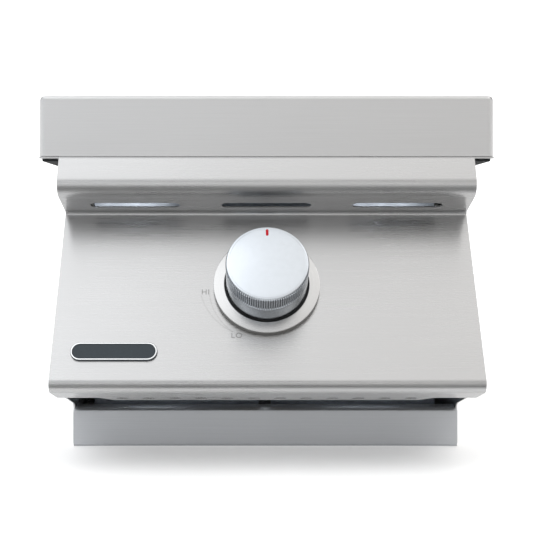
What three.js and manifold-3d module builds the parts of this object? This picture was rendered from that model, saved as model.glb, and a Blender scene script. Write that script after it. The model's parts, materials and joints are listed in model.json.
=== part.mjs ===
// A built-in gas side burner: a sloping control panel with one knob, a top deck with a cast burner in a
// drip pan, and a cover hinged at the rear. Millimetres, +Z up, the front faces -Y. While the pieces are
// made, y = 0 is the crease of the control panel and z = 0 the underside. At the end the group's origin
// moves to the middle of its footprint.
import * as THREE from "three";
import { mergeVertices } from "three/addons/utils/BufferGeometryUtils.js";
import Module from "manifold-3d";

const wasm = await Module();
wasm.setup();

// Sheet metal and clearances
const sheet = 1.2;
const seat_gap = 0.3;
const pin_play = 0.3;
const overrun = 6;
const weld = 0.001;

// Steps round a curve
const large_steps = 28;
const round_steps = 18;
const small_steps = 12;
const hex_steps = 6;
const bend_steps = 4;
const panel_steps = 6;

// Body, hung in the counter by flanges bent outwards along its sides and rear
const body_width = 300;
const rear_space = 78;
const deck_above_crease = 40;
const counter_overhang = 15;
const flange_bend = 1;
const flange_setback = 1;
const deck_flange = 10;

// Control panel, a sheet bent at five corners
const panel_tilt = 29.6;
const face_length = 141.46;
const nose_height = 59.2;
const undercut_slope = 19.7;
const undercut_length = 42.5;
const shoulder_tilt = 25;
const top_flange = 21.4;
const return_slope = 16;
const return_ends = 36.9;
const return_middle = 49.9;
const tongue_inset = 30;
const tongue_chamfer = 9;
const top_bend = 3.5;
const shoulder_bend = 10;
const crease_bend = 2.5;
const nose_bend = 7;

// Air slots in the undercut and vent holes in the return
const slot_count = 3;
const slot_width = 9.4;
const slot_margin = 20.6;
const slot_bridge = 30.1;
const slot_from_crease = 14.8;
const vent_radius = 4.5;
const vent_pitch = 18.8;
const vent_from_edge = 10;
const vent_margin = 7;

// Side panels follow the bent sheet from inside
const side_edge_inset = 3.6;

// Bottom pan, whose front wall is the lower trim
const trim_front = 32.75;
const trim_height = 31;
const trim_bend = 4.8;
const trim_return = 13;
const trim_corner = 2.8;
const pan_bend = 2.5;
const pan_lip = 10;

// Heat shield between the control space and the burner space
const shield_front = 88;
const shield_inset = 8;
const shield_flange = 9;
const shield_bend = 2;

// Rear panel vents
const rear_vent_length = 60;
const rear_vent_width = 8;
const rear_vent_pitch = 90;
const rear_vent_margin = 25;
const rear_vent_below_deck = 30.2;

// Cover
const lid_setback = 3;
const lid_rear_overhang = 2.95;
const lid_height = 44.1;
const lid_corner = 5;
const lid_edge = 3;
const lid_front_lip = 8;
const lid_rear_lip = 12;

// Cover hinges
const hinge_from_rear = 16;
const hinge_above_deck = 21.8;
const swing_clearance = 1.2;
const pin_radius = 3;
const pin_head_radius = 5.5;
const pin_head = 2;
const nut_radius = 5.4;
const nut_height = 4;
const bracket_sheet = 1.6;
const bracket_top = 8;
const bracket_ahead = 14;
const bracket_foot = 16;
const bracket_gap = 0.5;
const foot_hole_radius = 2.2;
const foot_hole_pitch = 11;

// Burner, venturi and gas line
const shield_to_tub = 13;
const tube_below_tub = 26;
const tube_radius = 12;
const tube_wall = 1.2;

// Drip pan hung in the deck
const tub_inset = 31;
const tub_length = 258;
const tub_depth = 36.2;
const tub_corner = 18;
const tub_bottom_edge = 8;
const tub_rim = 11;
const tub_throat = 36;
const tub_collar = 6;
const tub_play = 0.6;

// Cooking grate
const grate_bar = 7;
const grate_overlap = 5;
const grate_corner = 20;
const grate_foot = 5;
const grate_frame_height = 9;
const finger_rise = 4.5;
const grate_hub = 27;
const grate_hub_bar = 6;
const grate_lug = 7;
const grate_lug_depth = 8;
const grate_lug_play = 1;
const foot_width = 10;

// Burner casting, with heights measured from the mixing tube's axis
const bowl_below_tube = 16;
const base_floor = 4;
const bowl_radius = 24;
const bowl_wall = 4;
const neck_start_rise = 12;
const neck_radius = 31.5;
const neck_bottom_rise = 21;
const neck_top_rise = 34;
const head_radius = 46;
const head_wall = 4;
const head_bottom_rise = 41;
const head_top_rise = 46;
const socket_radius = 15.5;
const socket_length = 46;
const bore_play = 0.3;
const ring_height = 10;
const ring_wall = 4.5;
const ring_lip = 3;
const ring_lip_wall = 2.2;
const port_count = 24;
const port_width = 2.4;
const port_depth = 5;
const cap_overhang = 2;
const cap_thickness = 6;
const cap_lip = 3;
const cap_lip_wall = 3;
const cap_dish = 2;

// Cross strap that carries the burner
const strap_width = 30;
const strap_sheet = 2;
const strap_upturn = 12;
const strap_bend = 3;
const screw_radius = 2.2;
const screw_head_radius = 4.4;
const screw_head = 3;
const screw_bite = 3;
const burner_screw_offset = 14;

// Mixing tube with its bell mouth, and the air shutter on it
const mouth_ahead = 24;
const mouth_radius = 17;
const mouth_length = 14;
const cone_length = 6;
const mouth_hole = 5.8;
const window_start = 4;
const window_length = 8;
const window_angle = 50;
const window_count = 3;
const shutter_wall = 1.2;
const shutter_length = 12;
const shutter_start = 1.5;
const shutter_tab = 7;
const tube_end_gap = 22;

// Orifice and its bracket
const spud_neck = 5.3;
const spud_hex_radius = 8.2;
const spud_hex_length = 14.5;
const spud_reach = 3;
const spud_bore = 3;
const jet_radius = 0.8;
const jet_length = 3;
const plate_to_mouth = 7.7;
const orifice_sheet = 1.5;
const orifice_arm_drop = 23.5;
const orifice_foot = 18.5;
const orifice_plate_rise = 12;
const orifice_width = 24;
const orifice_bend = 3;

// Knob axis on the sloping face
const knob_from_crease = 62;
const stem_hole = 12;
const bezel_radius = 38.1;
const bezel_inner = 31;
const bezel_height = 5.8;
const bezel_edge = 0.8;
const bezel_inner_edge = 0.3;
const bezel_lip_inner = 21;
const bezel_lip = 1.5;
const bezel_screw_pitch = 52;
const bezel_screw_head = 3.4;
const bezel_screw_head_height = 1.8;
const bezel_screw_radius = 1.8;
const bezel_screw_length = 8;

// Knob
const knob_face_height = 38.4;
const knob_push_play = 0.1;
const knob_skirt_radius = 29.7;
const knob_skirt_top = 21.5;
const knob_band_top = 35.2;
const knob_band_radius = 29.2;
const knob_neck_radius = 28.6;
const knob_face_radius = 28.5;
const knob_edge = 2.2;
const knob_wall = 3;
const flute_count = 40;
const flute_depth = 0.7;
const knob_hub = 8;
const knob_hub_recess = 1.1;
const stem_top_play = 1.5;
const pointer_length = 5.5;
const pointer_width = 2;
const pointer_depth = 0.6;

// Gas valve, measured inwards from the outer face of the panel
const valve_bracket_width = 62;
const valve_bracket_height = 34;
const valve_bracket_corner = 5;
const bonnet_thickness = 3.5;
const bonnet_radius = 16;
const valve_length = 37.2;
const valve_radius = 13;
const valve_bore = 8.3;
const valve_back = 3;
const port_from_front = 24.2;
const port_radius = 2.5;
const outlet_reach = 20;
const outlet_radius = 7;
const inlet_reach = 22;
const inlet_radius = 8;
const stem_radius = 4;
const stem_top = 21.5;
const stem_flat = 2.8;
const collar_radius = 7;
const collar_thickness = 1.2;
const washer_radius = 7.6;
const washer_thickness = 1;
const push_travel = 3;
const spring_radius = 5.2;
const spring_wire = 0.6;
const spring_length = 6.5;
const spring_turns = 3;
const spring_steps = 8;
const wire_sides = 5;
const plug_radius = 8;
const plug_pocket = 6.3;
const plug_pocket_depth = 5.5;
const plug_front = 14.5;
const tang_width = 7.2;
const tang_thickness = 2;
const tang_reach = 22;
const tang_slot_end = 25.5;
const tang_play = 0.3;

// Pipes, nuts and fittings
const supply_radius = 4;
const supply_wall = 0.8;
const supply_bend = 13.7;
const supply_nut_radius = 8.4;
const supply_nut_length = 8.3;
const pipe_sides = 8;
const pipe_radius = 5;
const pipe_wall = 1;
const pipe_height = 22.5;
const pipe_drop = 34;
const pipe_bend = 14;
const pipe_over_trim = 10;
const pipe_dip_start = 17;
const pipe_dip_length = 30;
const inlet_nut_radius = 9.2;
const inlet_nut_length = 11;
const fitting_radius = 7.9;
const fitting_bore = 4;
const fitting_hex_radius = 12.7;
const fitting_hex_length = 11;
const fitting_outside = 15;
const fitting_nut_length = 6.5;

// Igniter
const module_width = 16;
const module_height = 16;
const module_length = 32;
const module_front = 12;
const module_corner = 2;
const electrode_x = 37.5;
const electrode_ahead = 37.5;
const ceramic_radius = 4;
const ceramic_above_tube = 10;
const ceramic_collar_radius = 6.5;
const ceramic_collar = 2.9;
const ceramic_over_head = 1;
const electrode_wire = 1;
const electrode_rise = 4.5;
const electrode_reach = 5;
const igniter_plate = 1.5;
const igniter_plate_width = 26;
const igniter_plate_length = 18;
const lead_radius = 1.5;
const lead_sides = 8;
const lead_steps = 20;
const lead_hole = 4;
const lead_hole_x = 56;
const lead_hole_below_tube = 32;

// Blank badge plate
const badge_length = 60.5;
const badge_height = 13.3;
const badge_thickness = 1.6;
const badge_border = 1.2;
const badge_recess = 0.5;
const badge_from_side = 43.5;
const badge_above_nose = 28.86;

// Finishes
const steel = new THREE.MeshStandardMaterial({ color: 0xc4c5c6, metalness: 0.9, roughness: 0.35 });
const dull_steel = new THREE.MeshStandardMaterial({ color: 0xa3a5a7, metalness: 0.85, roughness: 0.45 });
const chrome = new THREE.MeshStandardMaterial({ color: 0xd9dcdf, metalness: 1, roughness: 0.12 });
const brass = new THREE.MeshStandardMaterial({ color: 0xb99a52, metalness: 0.9, roughness: 0.35 });
const cast_iron = new THREE.MeshStandardMaterial({ color: 0x2b2b2c, metalness: 0.3, roughness: 0.7 });
const slate = new THREE.MeshStandardMaterial({ color: 0x3d464d, metalness: 0.4, roughness: 0.5 });
const red = new THREE.MeshStandardMaterial({ color: 0xc01820, metalness: 0, roughness: 0.5 });
const ceramic = new THREE.MeshStandardMaterial({ color: 0xeeeae0, metalness: 0, roughness: 0.4 });
const black_plastic = new THREE.MeshStandardMaterial({ color: 0x1c1c1d, metalness: 0, roughness: 0.6 });

// Closed geometry as a solid; one that came out inside out has its faces turned round
function solid(geometry) {
  const loose = geometry.index ? geometry.toNonIndexed() : geometry;
  const bare = new THREE.BufferGeometry().setAttribute("position", loose.getAttribute("position"));
  const merged = mergeVertices(bare, weld);
  const triVerts = new Uint32Array(merged.index.array);
  const vertProperties = merged.attributes.position.array;
  const made = new wasm.Manifold(new wasm.Mesh({ numProp: 3, vertProperties, triVerts }));
  if (made.volume() > 0) return made;
  const turned_round = triVerts.map((_, i) => triVerts[[i, i + 1, i - 1][i % 3]]);
  return new wasm.Manifold(new wasm.Mesh({ numProp: 3, vertProperties, triVerts: turned_round }));
}

function geometryOf(body) {
  const mesh = body.getMesh();
  const geometry = new THREE.BufferGeometry();
  geometry.setAttribute("position", new THREE.BufferAttribute(new Float32Array(mesh.vertProperties), 3));
  geometry.setIndex(new THREE.BufferAttribute(new Uint32Array(mesh.triVerts), 1));
  return geometry;
}

function cut(base, ...tools) {
  return geometryOf(tools.reduce((body, tool) => body.subtract(solid(tool)), solid(base)));
}

function join(base, ...others) {
  return geometryOf(others.reduce((body, other) => body.add(solid(other)), solid(base)));
}

const shared = (base, other) => geometryOf(solid(base).intersect(solid(other)));
const mirrored = (geometry) => geometryOf(solid(geometry.clone().scale(-1, 1, 1)));

// A box between two corners
function box(low, high) {
  const size = high.map((value, i) => value - low[i]);
  const middle = high.map((value, i) => (value + low[i]) / 2);
  return new THREE.BoxGeometry(...size).translate(...middle);
}

// A round or many-sided bar along one axis, between two places on it
function rod(axis, radius, low, high, steps = round_steps) {
  const geometry = new THREE.CylinderGeometry(radius, radius, high - low, steps);
  geometry.translate(0, (low + high) / 2, 0);
  if (axis === "x") geometry.rotateZ(-Math.PI / 2);
  if (axis === "z") geometry.rotateX(Math.PI / 2);
  return geometry;
}

// A revolve about Z from [radius, height] points that close on themselves or run from axis to axis
function turned(profile, steps = round_steps) {
  const open = profile[0][0] === 0;
  const points = (open ? profile : [...profile, profile[0]]).map(([r, h]) => new THREE.Vector2(r, h));
  return new THREE.LatheGeometry(points, steps).rotateX(Math.PI / 2);
}

// Outlines: side ones are (y, z) and run across x, plan ones are (x, y) and rise, and front ones are (x, z)
// and run along y
const side_basis = new THREE.Matrix4().makeBasis(
  new THREE.Vector3(0, 1, 0), new THREE.Vector3(0, 0, 1), new THREE.Vector3(1, 0, 0));
const front_basis = new THREE.Matrix4().makeBasis(
  new THREE.Vector3(1, 0, 0), new THREE.Vector3(0, 0, 1), new THREE.Vector3(0, -1, 0));

function extruded(points, depth) {
  return new THREE.ExtrudeGeometry(new THREE.Shape(points), { depth, bevelEnabled: false, steps: 1 });
}

function across(points, left, right) {
  return extruded(points, right - left).translate(0, 0, left).applyMatrix4(side_basis);
}

function rising(points, low, high) {
  return extruded(points, high - low).translate(0, 0, low);
}

function along(points, front, back) {
  return extruded(points, back - front).translate(0, 0, -back).applyMatrix4(front_basis);
}

const point = (x, y) => new THREE.Vector2(x, y);
const turnedPoint = (x, y, angle) => point(x, y).rotateAround(new THREE.Vector2(), angle);
const radians = THREE.MathUtils.degToRad;
const cross = (a, b) => a.x * b.y - a.y * b.x;

// Corners of a bent line with each straight run moved to its left by its own distance
function shifted(corners, distances) {
  const runs = distances.map((distance, i) => {
    const direction = corners[i + 1].clone().sub(corners[i]).normalize();
    const left = point(-direction.y, direction.x);
    const end = corners[i + 1].clone().addScaledVector(left, distance);
    return { start: corners[i].clone().addScaledVector(left, distance), end, direction };
  });
  const inner = runs.slice(1).map((run, i) => {
    const before = runs[i];
    const offset = run.start.clone().sub(before.start);
    const reach = cross(offset, run.direction) / cross(before.direction, run.direction);
    return before.start.clone().addScaledVector(before.direction, reach);
  });
  return [runs[0].start, ...inner, runs[runs.length - 1].end];
}

// A bent line's points, with an arc at each inner corner whose radius isn't zero
function rounded(corners, radii, steps = bend_steps) {
  const points = [corners[0].clone()];
  for (let i = 1; i < corners.length - 1; i++) {
    const radius = radii[i - 1];
    const arriving = corners[i].clone().sub(corners[i - 1]).normalize();
    const leaving = corners[i + 1].clone().sub(corners[i]).normalize();
    const turn = Math.atan2(cross(arriving, leaving), arriving.dot(leaving));
    if (radius <= 0) {
      points.push(corners[i].clone());
      continue;
    }
    const outward = point(arriving.y, -arriving.x).multiplyScalar(Math.sign(turn) * radius);
    const start = corners[i].clone().addScaledVector(arriving, -radius * Math.tan(Math.abs(turn) / 2));
    const centre = start.clone().sub(outward);
    for (let k = 0; k <= steps; k++) {
      points.push(outward.clone().rotateAround(new THREE.Vector2(), (turn * k) / steps).add(centre));
    }
  }
  points.push(corners[corners.length - 1].clone());
  return points;
}

// The closed outline of a sheet bent along a line; its thickness lies to the left of the line
function bentSheet(corners, radii, thickness, steps = bend_steps) {
  const turns = radii.map((_, i) => {
    const arriving = corners[i + 1].clone().sub(corners[i]);
    return Math.sign(cross(arriving, corners[i + 2].clone().sub(corners[i + 1])));
  });
  const inner_radii = radii.map((radius, i) => Math.max(radius - turns[i] * thickness, 0));
  const inner = shifted(corners, corners.slice(1).map(() => thickness));
  return [...rounded(corners, radii, steps), ...rounded(inner, inner_radii, steps).reverse()];
}

// A rounded rectangle round the middle of the plan
function roundRectangle(width, length, radius, steps = bend_steps) {
  const points = [];
  const quarters = [[1, 1], [-1, 1], [-1, -1], [1, -1]];
  quarters.forEach(([sx, sy], quarter) => {
    const centre = point(sx * (width / 2 - radius), sy * (length / 2 - radius));
    for (let k = 0; k <= steps; k++) {
      points.push(turnedPoint(radius, 0, ((quarter + k / steps) * Math.PI) / 2).add(centre));
    }
  });
  return points;
}

const obround = (length, width) => roundRectangle(length, width, width / 2 - weld, small_steps / 4);
const disc = (radius, steps) =>
  Array.from({ length: steps }, (_, k) => turnedPoint(radius, 0, (2 * Math.PI * k) / steps));

// A closed skin through rings of equally many points, from the lowest ring to the highest
function lofted(rings) {
  const count = rings[0].length;
  const positions = rings.flat().flatMap((p) => [p.x, p.y, p.z]);
  const index = [];
  for (let i = 0; i + 1 < rings.length; i++) {
    for (let k = 0; k < count; k++) {
      const next = (k + 1) % count;
      const [a, b] = [i * count + k, i * count + next];
      index.push(a, b, b + count, a, b + count, a + count);
    }
  }
  const top = (rings.length - 1) * count;
  for (let k = 1; k + 1 < count; k++) index.push(0, k + 1, k, top, top + k, top + k + 1);
  const geometry = new THREE.BufferGeometry();
  geometry.setAttribute("position", new THREE.Float32BufferAttribute(positions, 3));
  geometry.setIndex(index);
  return geometry;
}

// A block with upright corners rounded, and one end's edge rounded too: its top where edge_up is true
function softBlock(width, length, low, high, corner, edge, edge_up = true) {
  const ring = (inset, z) =>
    roundRectangle(width - 2 * inset, length - 2 * inset, Math.max(corner - inset, weld))
      .map((p) => new THREE.Vector3(p.x, p.y, z));
  const bends = Array.from({ length: bend_steps + 1 }, (_, k) => (k / bend_steps) * (Math.PI / 2));
  const insets = bends.map((angle) => edge * (1 - Math.cos(angle)));
  const rises = bends.map((angle) => edge * Math.sin(angle));
  if (edge_up) {
    return lofted([ring(0, low), ...insets.map((inset, k) => ring(inset, high - edge + rises[k]))]);
  }
  return lofted([...insets.map((inset, k) => ring(inset, low + edge - rises[k])).reverse(), ring(0, high)]);
}

// A wire that follows a curve
function drawn(curve, steps, radius, sides) {
  const shape = new THREE.Shape(disc(radius, sides));
  return new THREE.ExtrudeGeometry(shape, { steps, bevelEnabled: false, extrudePath: curve });
}

// A pipe, open at both ends, through a line of the side outline whose corners are rounded
function pipe(corners, bend, radius, wall) {
  const path = rounded(corners, corners.slice(2).map(() => bend));
  const last = path.length - 1;
  const rings = (size, reach) => path.map((place, i) => {
    const forward = path[Math.min(i + 1, last)].clone().sub(path[Math.max(i - 1, 0)]).normalize();
    const reached = (i === last ? reach : 0) - (i === 0 ? reach : 0);
    const centre = place.clone().addScaledVector(forward, reached);
    return disc(size, pipe_sides).map((p) =>
      new THREE.Vector3(p.x, centre.x - p.y * forward.y, centre.y + p.y * forward.x));
  });
  return cut(lofted(rings(radius, 0)), lofted(rings(radius - wall, overrun)));
}

// A place on the body's side outline, turned so that local y runs along a direction and local z is its normal
function faceBasis(origin, direction) {
  const basis = new THREE.Matrix4().makeBasis(
    new THREE.Vector3(1, 0, 0), new THREE.Vector3(0, direction.x, direction.y),
    new THREE.Vector3(0, -direction.y, direction.x));
  return basis.setPosition(0, origin.x, origin.y);
}

const centred = (count, pitch) => Array.from({ length: count }, (_, k) => (k - (count - 1) / 2) * pitch);

const part = new THREE.Group();

function add(name, geometry, material, parent = part) {
  const mesh = new THREE.Mesh(geometry, material);
  mesh.name = name;
  parent.add(mesh);
  return mesh;
}

// Side outline of the control panel: crease, shoulder, top corner, nose and the ends of the bent sheet
const face_up = point(Math.sin(radians(panel_tilt)), Math.cos(radians(panel_tilt)));
const return_back = point(Math.cos(radians(return_slope)), -Math.sin(radians(return_slope)));
const undercut_forward = point(-Math.cos(radians(undercut_slope)), Math.sin(radians(undercut_slope)));
const crease_height = nose_height + face_length * face_up.y;
const deck_height = crease_height + deck_above_crease;
const crease = point(0, crease_height);
const shoulder = crease.clone().addScaledVector(undercut_forward, undercut_length);
const top_rise = deck_height - shoulder.y;
const top_corner = point(shoulder.x + top_rise * Math.tan(radians(shoulder_tilt)), deck_height);
const nose = crease.clone().addScaledVector(face_up, -face_length);
const return_end = nose.clone().addScaledVector(return_back, return_middle);
const flange_end = point(top_corner.x + top_flange, deck_height);
const panel_line = [flange_end, top_corner, shoulder, crease, nose, return_end];
const panel_bends = [top_bend, shoulder_bend, crease_bend, nose_bend];

// Places that follow from the panel, the burner space behind it and the counter's overhang
const deck_underside = deck_height - sheet;
const burner_back = shield_front + shield_to_tub + tub_length / 2;
const body_rear = burner_back + tub_length / 2 + rear_space;
const side_rear = body_rear - sheet - seat_gap;
const flange_rear = body_rear + counter_overhang;
const lid_front = top_corner.x + lid_setback;
const lid_rear = flange_rear + lid_rear_overhang;
const lid_depth = lid_rear - lid_front;
const lid_width = body_width + 2 * counter_overhang;
const tub_width = body_width - 2 * tub_inset;
const tub_floor = deck_height - tub_depth;
const tube_height = tub_floor - tube_below_tub;

// The knob axis: local y runs up the face and local z points out of it
const knob_centre = crease.clone().addScaledVector(face_up, -knob_from_crease);
const on_face = new THREE.Group();
on_face.position.set(0, knob_centre.x, knob_centre.y);
on_face.rotation.x = Math.atan2(face_up.y, face_up.x);
part.add(on_face);

// Control panel
const tongue_half = body_width / 2 - tongue_inset;
const slot_length = (body_width - 2 * slot_margin - (slot_count - 1) * slot_bridge) / slot_count;
const vent_room = 2 * (tongue_half - tongue_chamfer - vent_margin);
const bezel_screw_places = [-bezel_screw_pitch / 2, bezel_screw_pitch / 2];

function controlPanel() {
  const outline = bentSheet(panel_line, panel_bends, sheet, panel_steps);
  const blank = across(outline, -body_width / 2, body_width / 2);
  const slot_place = crease.clone().addScaledVector(undercut_forward, slot_from_crease);
  const slot_face = faceBasis(slot_place, undercut_forward);
  const slots = centred(slot_count, slot_length + slot_bridge).map((x) =>
    rising(obround(slot_length, slot_width), -overrun, overrun).translate(x, 0, 0).applyMatrix4(slot_face));
  const return_face = faceBasis(nose, return_back);
  const vents = centred(Math.floor(vent_room / vent_pitch) + 1, vent_pitch).map((x) =>
    rising(disc(vent_radius, small_steps), -overrun, overrun)
      .translate(x, return_middle - vent_from_edge, 0).applyMatrix4(return_face));
  const half = body_width / 2 + overrun;
  const far = return_middle + overrun;
  const corner = rising([
    point(tongue_half, return_ends), point(half, return_ends), point(half, far),
    point(tongue_half - tongue_chamfer, far), point(tongue_half - tongue_chamfer, return_middle),
  ], -overrun, overrun).applyMatrix4(return_face);
  const knob_face = faceBasis(knob_centre, face_up);
  const stem_way = rod("z", stem_hole, -overrun, overrun).applyMatrix4(knob_face);
  const screw_ways = bezel_screw_places.map((x) =>
    rod("z", bezel_screw_radius + pin_play, -overrun, overrun, small_steps)
      .translate(x, 0, 0).applyMatrix4(knob_face));
  return cut(blank, ...slots, ...vents, corner, mirrored(corner), stem_way, ...screw_ways);
}
add("control_panel", controlPanel(), steel);

// Side panels: a flat sheet whose top is bent outwards into the flange that rests on the counter. The flange
// runs on ahead beside the control panel, and behind it closes the corner beside the rear panel's flange.
const trim_inside = trim_front + sheet + seat_gap;
const outer_flange_bend = flange_bend + sheet;
const deck_front = flange_end.x + seat_gap;

function sidePanel() {
  const inset = sheet + seat_gap;
  const inner = shifted(panel_line, [inset, inset, inset, inset, side_edge_inset]);
  const [, front_top, front_shoulder, front_crease, front_nose] = inner;
  const meet = front_nose.clone().addScaledVector(return_back, (trim_inside - front_nose.x) / return_back.x);
  const corners = [
    point(side_rear, front_top.y), front_top, front_shoulder, front_crease, front_nose, meet,
    point(trim_inside, 0), point(side_rear, 0),
  ];
  const radii = [
    top_bend - inset, shoulder_bend - inset, crease_bend + inset, nose_bend - inset, trim_bend, 0,
  ];
  const outer_x = body_width / 2;
  const skin = across(rounded(corners, radii, panel_steps), outer_x - sheet, outer_x);
  const bend_line = [
    point(lid_width / 2, deck_height), point(outer_x - sheet, deck_height),
    point(outer_x - sheet, deck_height - deck_flange),
  ];
  const bent_top = along(bentSheet(bend_line, [outer_flange_bend], sheet), deck_front, side_rear);
  const flange = box([outer_x + seat_gap, lid_front + flange_setback, deck_underside],
    [lid_width / 2, flange_rear, deck_height]);
  return join(skin, bent_top, flange);
}
const right_side = sidePanel();
add("right_side_panel", right_side, steel);
add("left_side_panel", mirrored(right_side), steel);

// Top deck: a sheet with its edges bent down inside the side panels; it meets the panel's flange edge to edge
function topDeck() {
  const half = body_width / 2 - sheet - seat_gap;
  const low = deck_height - deck_flange;
  const line = [point(half, low), point(half, deck_height), point(-half, deck_height), point(-half, low)];
  const tray = along(bentSheet(line, [outer_flange_bend, outer_flange_bend], sheet), deck_front, side_rear);
  const way = roundRectangle(tub_width + 2 * tub_play, tub_length + 2 * tub_play, tub_corner + tub_play);
  return cut(tray, rising(way, deck_underside - overrun, deck_height + overrun).translate(0, burner_back, 0));
}
add("top_deck", topDeck(), steel);

// Bottom pan: the front wall is full width and the floor lies between the side panels
function bottomPan() {
  const line = [
    point(trim_front + trim_return, trim_height), point(trim_front, trim_height), point(trim_front, 0),
    point(side_rear, 0),
  ];
  const half = body_width / 2;
  const floor_half = half - sheet - seat_gap;
  const wall = across(bentSheet(line, [trim_bend, pan_bend], sheet), -half, half);
  const beside = box([floor_half, trim_front + sheet, -overrun],
    [half + overrun, side_rear + overrun, trim_height + overrun]);
  const lip = box([floor_half - sheet, trim_inside + pan_bend, sheet / 2], [floor_half, side_rear, pan_lip]);
  const above = trim_height + overrun;
  const front_corners = [
    point(0, above), point(-half, above), point(-half, 0), point(half, 0), point(half, above),
    point(0, above),
  ];
  const front_view = along(rounded(front_corners, [0, trim_corner, trim_corner, 0]),
    trim_front - overrun, side_rear + overrun);
  return shared(join(cut(wall, beside, mirrored(beside)), lip, mirrored(lip)), front_view);
}
add("bottom_pan", bottomPan(), dull_steel);

// Heat shield, with a flange under the deck and one on the pan's floor
const lead_hole_height = tube_height - lead_hole_below_tube;

function heatShield() {
  const top = deck_underside - seat_gap;
  const bottom = sheet + seat_gap;
  const back = shield_front + shield_flange;
  const line = [point(back, top), point(shield_front, top), point(shield_front, bottom), point(back, bottom)];
  const half = body_width / 2 - shield_inset;
  const wall = across(bentSheet(line, [shield_bend, shield_bend], sheet), -half, half);
  const way = (radius, x, z) =>
    rod("y", radius, shield_front - overrun, shield_front + overrun, small_steps).translate(x, 0, z);
  return cut(wall, way(tube_radius + 2 * pin_play, 0, tube_height),
    way(pipe_radius + 2 * pin_play, 0, pipe_height), way(lead_hole, lead_hole_x, lead_hole_height));
}
add("front_heat_shield", heatShield(), steel);

// Rear panel with air slots, the hole for the gas inlet and the rear flange that rests on the counter
function rearPanel() {
  const inner_y = body_rear - sheet;
  const line = [point(flange_rear, deck_height), point(inner_y, deck_height), point(inner_y, 0)];
  const plate = across(bentSheet(line, [outer_flange_bend], sheet), -body_width / 2, body_width / 2);
  const vent_room = body_width - 2 * rear_vent_margin - rear_vent_length;
  const vents = centred(Math.floor(vent_room / rear_vent_pitch) + 1, rear_vent_pitch).map((x) =>
    along(obround(rear_vent_length, rear_vent_width), body_rear - overrun, body_rear + overrun)
      .translate(x, 0, deck_height - rear_vent_below_deck));
  const inlet = rod("y", fitting_radius + pin_play, body_rear - overrun, body_rear + overrun)
    .translate(0, 0, pipe_height);
  return cut(plate, ...vents, inlet);
}
add("rear_panel", rearPanel(), steel);

// Cover: a soft-cornered box open below, its rear swinging inside a circle round the hinge pin
const lid_bottom = deck_height + seat_gap;
const lid_top = lid_bottom + lid_height;
const hinge = point(lid_rear - hinge_from_rear, deck_height + hinge_above_deck);
const skirt_inside = lid_width / 2 - sheet;
const pinWay = (left, right) =>
  rod("x", pin_radius + pin_play, left - overrun, right + overrun, small_steps)
    .translate(0, hinge.x, hinge.y);

function cover() {
  const middle = (lid_front + lid_rear) / 2;
  const outer = softBlock(lid_width, lid_depth, lid_bottom, lid_top, lid_corner, lid_edge)
    .translate(0, middle, 0);
  const inner = softBlock(lid_width - 2 * sheet, lid_depth - 2 * sheet, lid_bottom - overrun, lid_top - sheet,
    lid_corner - sheet, lid_edge - sheet).translate(0, middle, 0);
  const lip_half = skirt_inside - lid_corner;
  const lip = box([-lip_half, lid_front + sheet / 2, lid_bottom],
    [lip_half, lid_front + lid_front_lip, lid_bottom + sheet]);
  const swing = hinge_above_deck - swing_clearance;
  const meet_angle = Math.acos(hinge_from_rear / swing);
  const arc = Array.from({ length: bend_steps + 1 }, (_, k) => {
    const angle = -Math.PI / 2 + (k / bend_steps) * (Math.PI / 2 - meet_angle);
    return turnedPoint(swing, 0, angle).add(hinge);
  });
  const low = lid_bottom - overrun;
  const far = lid_rear + overrun;
  const corner = across([...arc, point(far, arc[bend_steps].y), point(far, low), point(hinge.x, low)],
    -lid_width / 2 - overrun, lid_width / 2 + overrun);
  const window = box([-skirt_inside, lid_rear - lid_corner, low],
    [skirt_inside, far, lid_top - lid_rear_lip]);
  const pin_way = pinWay(-lid_width / 2, lid_width / 2);
  return cut(join(cut(outer, inner), lip), corner, window, pin_way);
}
add("lid", cover(), steel);

// Hinge brackets, pins and lock nuts, made on the right and mirrored to the left
const bracket_outside = skirt_inside - bracket_gap;
const bracket_inside = bracket_outside - bracket_sheet;

function hingeBracket() {
  const foot = deck_height + seat_gap;
  const line = [
    point(bracket_outside - bracket_foot, foot), point(bracket_outside, foot),
    point(bracket_outside, hinge.y + bracket_top + overrun),
  ];
  const [ahead, behind] = [hinge.x - bracket_ahead, hinge.x + bracket_top];
  const angle_iron = along(bentSheet(line, [strap_bend], bracket_sheet), ahead, behind);
  const crown = Array.from({ length: small_steps / 2 + 1 }, (_, k) =>
    turnedPoint(bracket_top, 0, (k / (small_steps / 2)) * Math.PI).add(hinge));
  const outline = across([point(behind, foot), ...crown, point(ahead, foot)],
    bracket_outside - 2 * bracket_foot, bracket_outside + overrun);
  const foot_ways = [-foot_hole_pitch / 2, foot_hole_pitch / 2].map((y) =>
    rod("z", foot_hole_radius, foot - overrun, foot + overrun, small_steps)
      .translate(bracket_outside - bracket_foot / 2, (ahead + behind) / 2 + y, 0));
  return cut(shared(angle_iron, outline), pinWay(bracket_inside, bracket_outside), ...foot_ways);
}

function hingePin() {
  const head_start = lid_width / 2 + seat_gap;
  const end = bracket_inside - nut_height - 2 * seat_gap - pin_radius;
  return join(rod("x", pin_radius, end, head_start + weld, small_steps),
    rod("x", pin_head_radius, head_start, head_start + pin_head, small_steps)).translate(0, hinge.x, hinge.y);
}

function hingeNut() {
  const face = bracket_inside - seat_gap;
  return cut(rod("x", nut_radius, face - nut_height, face, hex_steps).translate(0, hinge.x, hinge.y),
    pinWay(face - nut_height, face));
}

[["hinge_bracket", hingeBracket(), steel], ["hinge_pin", hingePin(), dull_steel],
  ["hinge_nut", hingeNut(), dull_steel]].forEach(([name, geometry, material]) => {
  add("right_" + name, geometry, material);
  add("left_" + name, mirrored(geometry), material);
});

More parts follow.
